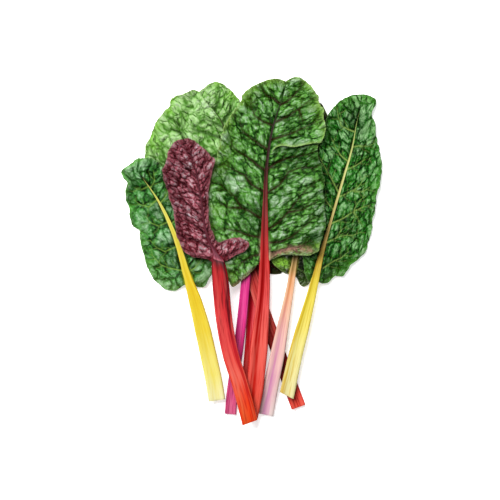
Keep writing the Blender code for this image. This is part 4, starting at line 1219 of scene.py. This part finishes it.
lay_leaf(
    {
        "name": "centre", "groove": 1.1, "under": ("purple",),
        "grid": (390, 60, 62), "blade_from": 262, "ruffle": 0.007,
        "crease": 0.0046, "blister": (0.0072, 0.0105), "turn": 0.35,
        "vein_width": 0.0010, "seed": 71, "shaded_edge": (246, 146, 0.007),
        "calm_above": 150, "fold": FOLD,
        "folds_left": (0.0060, 0.0100, 0.6, 0.35), "folds_right": (0.0050, 0.0110, -1.2, 0.7),
        "hems_left": [([(262, 265), (250, 272.5), (241, 281), (232, 287)], 2.2, 0.0010)],
        "hems_right": [([(273, 256), (281, 252), (290, 249.5), (300, 249), (310, 251)], 3.4, 0.0030)],
        "stem": [
            (250.4, 417), (254.2, 392), (257.5, 362), (260, 335), (262.5, 308), (264, 285), (264.5, 262),
            (264.5, 240), (264.8, 218), (265.3, 196), (266, 175), (268, 155), (271, 136), (276, 117),
            (281, 102), (284.5, 90),
        ],
        "widths": [
            (417, 16.4), (392, 18.6), (347, 19.5), (300, 14.3), (250, 10.4), (225, 8.2), (200, 5.6),
            (160, 3.2), (120, 2.2), (90, 1.5),
        ],
        "left": [
            (257.5, 264, 0), (250, 272.5, 1.5), (241, 281, 3), (232, 287, 4.5), (228, 276, 6),
            (225.5, 263, 8), (219, 252, 11), (213, 243, 14), (209.5, 230, 17), (208, 215, 20),
            (207.5, 200, 23), (209, 184, 26.5), (212, 173, 30), (214.5, 164, 34), (218, 153, 41),
            (222, 138, 50), (226, 125, 57), (231, 115, 62), (239, 105, 68), (245, 93, 75), (256, 85.5, 84),
            (266, 81, 90), (276, 79, 95.5), (285.5, 81.5, 100),
        ],
        "right": [
            (271.5, 259, 0), (279, 255.5, 1.5), (288, 253.5, 2.5), (298, 253.5, 3.5), (309, 255, 4.5),
            (317, 251, 5.5), (319.5, 244, 6.5), (322.5, 236, 8), (325, 226, 10), (325, 214, 13),
            (323.5, 200, 17), (323.5, 186, 24), (322.5, 174, 33), (319.5, 162, 46), (317, 152, 56),
            (317, 146.5, 59.5), (321.5, 142, 61.5), (324.5, 133, 64), (324.5, 124, 67), (322.5, 113, 70.5),
            (319, 102, 74), (313.5, 90, 79), (308.5, 85, 83), (303, 79.5, 87.5), (297, 77, 91.5),
            (291, 78.5, 95.5), (285.5, 81.5, 100),
        ],
        "veins_left": [
            [(279, 103), (273, 98.5), (266.4, 96), (261.4, 87)],
            [(274, 126), (263, 121.8), (254.7, 116), (250.6, 105), (251.4, 98.5)],
            [(268, 150), (263, 146.6), (250.6, 138.3), (241.5, 130), (239.8, 118.4)],
            [(265.5, 171), (257, 165), (248, 157.5), (235, 150), (229, 140)],
            [(264.5, 192), (258.9, 189), (251.4, 184.9), (244.8, 175.8), (234, 170), (224, 164)],
            [(264, 220), (259.7, 218), (249.8, 211.4), (241.5, 208), (234, 195.7), (224, 188),
             (216, 180)],
            [(241.5, 208), (230, 208), (219, 203)],
            [(263.5, 239), (258, 237), (248, 235.5), (238, 231.3), (225.7, 228.8), (211, 230.5)],
            [(263, 254), (252, 256), (242, 262), (235, 272)],
        ],
        "veins_right": [
            [(280, 105), (288, 101), (296, 93), (303, 84.4)],
            [(276, 122), (287, 117), (298.7, 109.3), (307, 102.7), (316, 97)],
            [(298.7, 109.3), (301.5, 118), (303, 124)],
            [(271, 140), (281, 137), (292, 133.5), (304, 128), (318, 121)],
            [(267, 170), (276, 163), (288, 158), (302, 156), (316, 152)],
            [(266, 194), (279.6, 184.9), (288.7, 172), (300, 168), (318, 168)],
            [(265, 231.5), (278, 223), (288, 212.3), (298.7, 198.2), (306, 190), (318, 180)],
            [(288, 212.3), (302, 210), (318, 200)],
            [(266, 243), (279.6, 242), (291, 237), (304.5, 226.4), (315, 216.4)],
            [(268, 254), (282, 250), (298, 247), (311, 240)],
        ],
    },
    blade_finish(
        "middle blade", deep=(3, 63, 1), body=(112, 190, 71), crest_highlight=(200, 231, 193),
        patch=(124, 183, 21), vein=(50, 12, 8), vein_net_shade=(6, 63, 1),
        rim=(183, 220, 122), base=(95, 72, 53), under=(151, 169, 114),
        selvedge=(220, 188, 151), hem=(186, 134, 118),
        vein_net_shade_share=0.325, vein_share=0.95, base_share=0.35, broad_shade_share=0.6,
    ),
    dict(
        name="middle red stem",
        shades=[(417, (224, 54, 34), (190, 20, 8), (244, 96, 72)),
                (380, (228, 46, 34), (204, 24, 12), (248, 100, 86)),
                (345, (226, 48, 44), (196, 18, 10), (250, 112, 98)),
                (300, (204, 26, 26), (166, 6, 6), (244, 96, 92)),
                (262, (180, 14, 16), (146, 4, 4), (226, 66, 62)),
                (235, (146, 10, 12), (104, 4, 4), (180, 40, 40)),
                (210, (112, 14, 14), (76, 6, 5), (146, 42, 38)),
                (185, (84, 14, 12), (46, 6, 5), (104, 28, 24)),
                (165, (48, 14, 9), (32, 8, 5), (62, 24, 18)),
                (135, (36, 18, 9), (26, 12, 6), (50, 30, 20)),
                (90, (30, 34, 14), (24, 26, 10), (50, 56, 26))],
        facets=[(-1, -0.4), (-0.85, 0.8), (-0.58, 0.5), (-0.45, -0.9), (-0.05, -0.6), (0.08, 0.6),
                (0.75, 0.9), (1, 0.0)],
        flesh=(250, 168, 140),
    ),
    "green_leaf", "red_stem", heap,
)


# The purple leaf lies uppermost, at the left. Its small blade is dark red-purple and wrinkled
# all over, redder towards the base, on a red stem that bends down to the lowest cut end.
lay_leaf(
    {
        "name": "purple", "groove": 0.6,
        "grid": (340, 40, 40), "blade_from": 262, "ruffle": 0.006,
        "crease": 0.0034, "blister": (0.0046, 0.0066), "turn": 0.5,
        "vein_width": 0.0006, "seed": 83, "side_veins": 7, "cut_skew": 0.12,
        "folds_left": (0.0036, 0.0080, 0.95, 0.75), "folds_right": (0.0036, 0.0080, -0.5, 0.75),
        "hems_left": [([(188, 253), (197, 254), (205, 253), (212, 254.5), (216, 258)], 1.3, 0.0012)],
        "hems_right": [([(222, 242), (228, 239.5), (236, 238.5), (244, 240)], 1.1, 0.0014),
                       ([(229, 257), (238, 252), (245, 248.5)], 1.1, 0.0008)],
        "stem": [
            (250, 421.5), (245.5, 403), (238.5, 378), (231.5, 356), (226.5, 333), (223.5, 312),
            (221.5, 290), (220, 274), (218, 262), (214.5, 251), (209.5, 241), (205.8, 230), (203.6, 218),
            (202, 205), (200, 192), (197.5, 178), (194.5, 166), (191, 155), (187.5, 147),
        ],
        "widths": [
            (421.5, 17.6), (345, 17.8), (290, 18.6), (274, 17.3), (265, 15.4), (261, 13), (257, 8),
            (253.5, 4.8), (249, 3.4), (240, 2.5), (190, 1.8), (147, 1.2),
        ],
        "left": [
            (208.5, 259, 0), (201, 256.5, 1.5), (194, 257, 3), (187, 253.5, 5), (180, 242, 10),
            (176, 228, 17), (174.5, 212, 26), (170, 199, 35), (167, 187, 44), (163.5, 173, 54),
            (167, 160, 65), (171, 148.5, 76), (178, 141, 88), (186, 138.5, 100),
        ],
        "right": [
            (226.5, 261, 0), (236, 254.5, 2), (246, 250, 4), (249, 244.5, 6), (243, 239, 8), (234, 238, 10),
            (226, 240.5, 12), (219, 242.5, 14), (214.5, 237, 18), (211, 230, 24), (209, 221, 31),
            (208.5, 210, 38), (208, 198, 46), (209.5, 184, 54), (212, 172, 61), (214.3, 160, 69),
            (209, 153.5, 78), (203, 149, 85), (196, 143, 92), (191, 139.5, 97), (186, 138.5, 100),
        ],
    },
    blade_finish(
        "purple blade", deep=(80, 2, 12), body=(230, 123, 141), crest_highlight=(235, 227, 231),
        patch=(150, 40, 66), vein=(46, 2, 12), vein_net_shade=(63, 2, 6),
        rim=(176, 117, 117), base=(184, 50, 64), under=(151, 99, 107),
        selvedge=(139, 23, 40), hem=(206, 124, 138),
        vein_share=0.8, base_share=0.8, hollow_shade_share=0.7, veinlets=1120, broad_shade_share=0.5, cells=0.8,
    ),
    dict(
        name="purple leaf's stem",
        shades=[(421, (254, 72, 22), (214, 30, 6), (255, 116, 58)),
                (400, (252, 70, 32), (206, 26, 12), (255, 112, 72)),
                (375, (246, 82, 62), (206, 40, 34), (255, 124, 108)),
                (345, (236, 70, 68), (196, 26, 40), (248, 92, 86)),
                (320, (222, 48, 54), (112, 0, 12), (250, 96, 92)),
                (290, (200, 28, 38), (92, 0, 16), (236, 82, 76)),
                (272, (184, 18, 28), (84, 0, 10), (214, 60, 60)),
                (264, (130, 8, 20), (64, 0, 8), (160, 36, 44)),
                # Under the edge of the blade's left lobe, a band of painted shadow; above it the lobe's pale
                # edge and the blade's purple, painted on the stem.
                (260.5, (70, 2, 14), (44, 0, 6), (90, 12, 26)),
                (259.6, (184, 92, 104), (150, 60, 76), (210, 128, 138)),
                (258.8, (164, 74, 90), (130, 48, 64), (190, 106, 122)),
                (257, (124, 42, 62), (88, 16, 34), (160, 80, 98)),
                (245, (84, 12, 30), (52, 4, 16), (112, 36, 54)),
                (147, (66, 8, 24), (42, 4, 14), (92, 30, 46))],
        facets=[(-1, -0.7), (-0.8, 0.0), (-0.5, 0.8), (-0.15, 0.3), (0.2, 0.1), (0.42, -0.2), (0.5, -1),
                (0.78, -1), (0.9, 0.5), (1, -0.6)],
        flesh=(252, 168, 130), slant=0.012,
    ),
    "purple_leaf", "red_stem", heap,
)


# The studio: a plain white table, a large soft light from the upper left with an even fill
# from all round, and the camera straight above.
bpy.ops.mesh.primitive_plane_add(size=8.0, location=(0, 0, 0))
table = bpy.context.object
table.name = "table"
table.location.z = -0.0002
paper = Finish("white table", gloss=0.12)
mottle = paper.share(paper.noise(3.0, 2.0), 0.3, 0.7)
white = paper.mix(mottle, (0.90, 0.90, 0.90, 1), (0.92, 0.92, 0.92, 1))
table.data.materials.append(paper.done(white, 0.9))
paper.surface.inputs["Emission Color"].default_value = (1, 1, 1, 1)
paper.surface.inputs["Emission Strength"].default_value = 0.50

bpy.ops.object.light_add(type="AREA", location=(-0.66, 0.90, 1.82))
key = bpy.context.object
key.name = "key_light"
key.data.shape, key.data.size, key.data.energy = "DISK", 1.5, 106.0
key.rotation_euler = (math.radians(31.5), 0, math.radians(216.3))

world = bpy.data.worlds.new("studio")
world.use_nodes = True
world.node_tree.nodes["Background"].inputs["Color"].default_value = (0.98, 0.99, 1.0, 1)
world.node_tree.nodes["Background"].inputs["Strength"].default_value = 0.36
bpy.context.scene.world = world
bpy.context.scene.view_settings.view_transform = "Standard"

PHOTO_SIDE = 500           # pixels
CAMERA_HEIGHT = 3.2
SENSOR_WIDTH = 36.0        # millimetres, as the lens is
view_middle = plan([(PHOTO_SIDE / 2, PHOTO_SIDE / 2)])[0]
bpy.ops.object.camera_add(location=(*view_middle, CAMERA_HEIGHT), rotation=(0, 0, 0))
camera = bpy.context.object
camera.name = "camera"
camera.data.sensor_width = SENSOR_WIDTH
camera.data.lens = SENSOR_WIDTH * CAMERA_HEIGHT / (PHOTO_SIDE * PIXEL)
bpy.context.scene.camera = camera
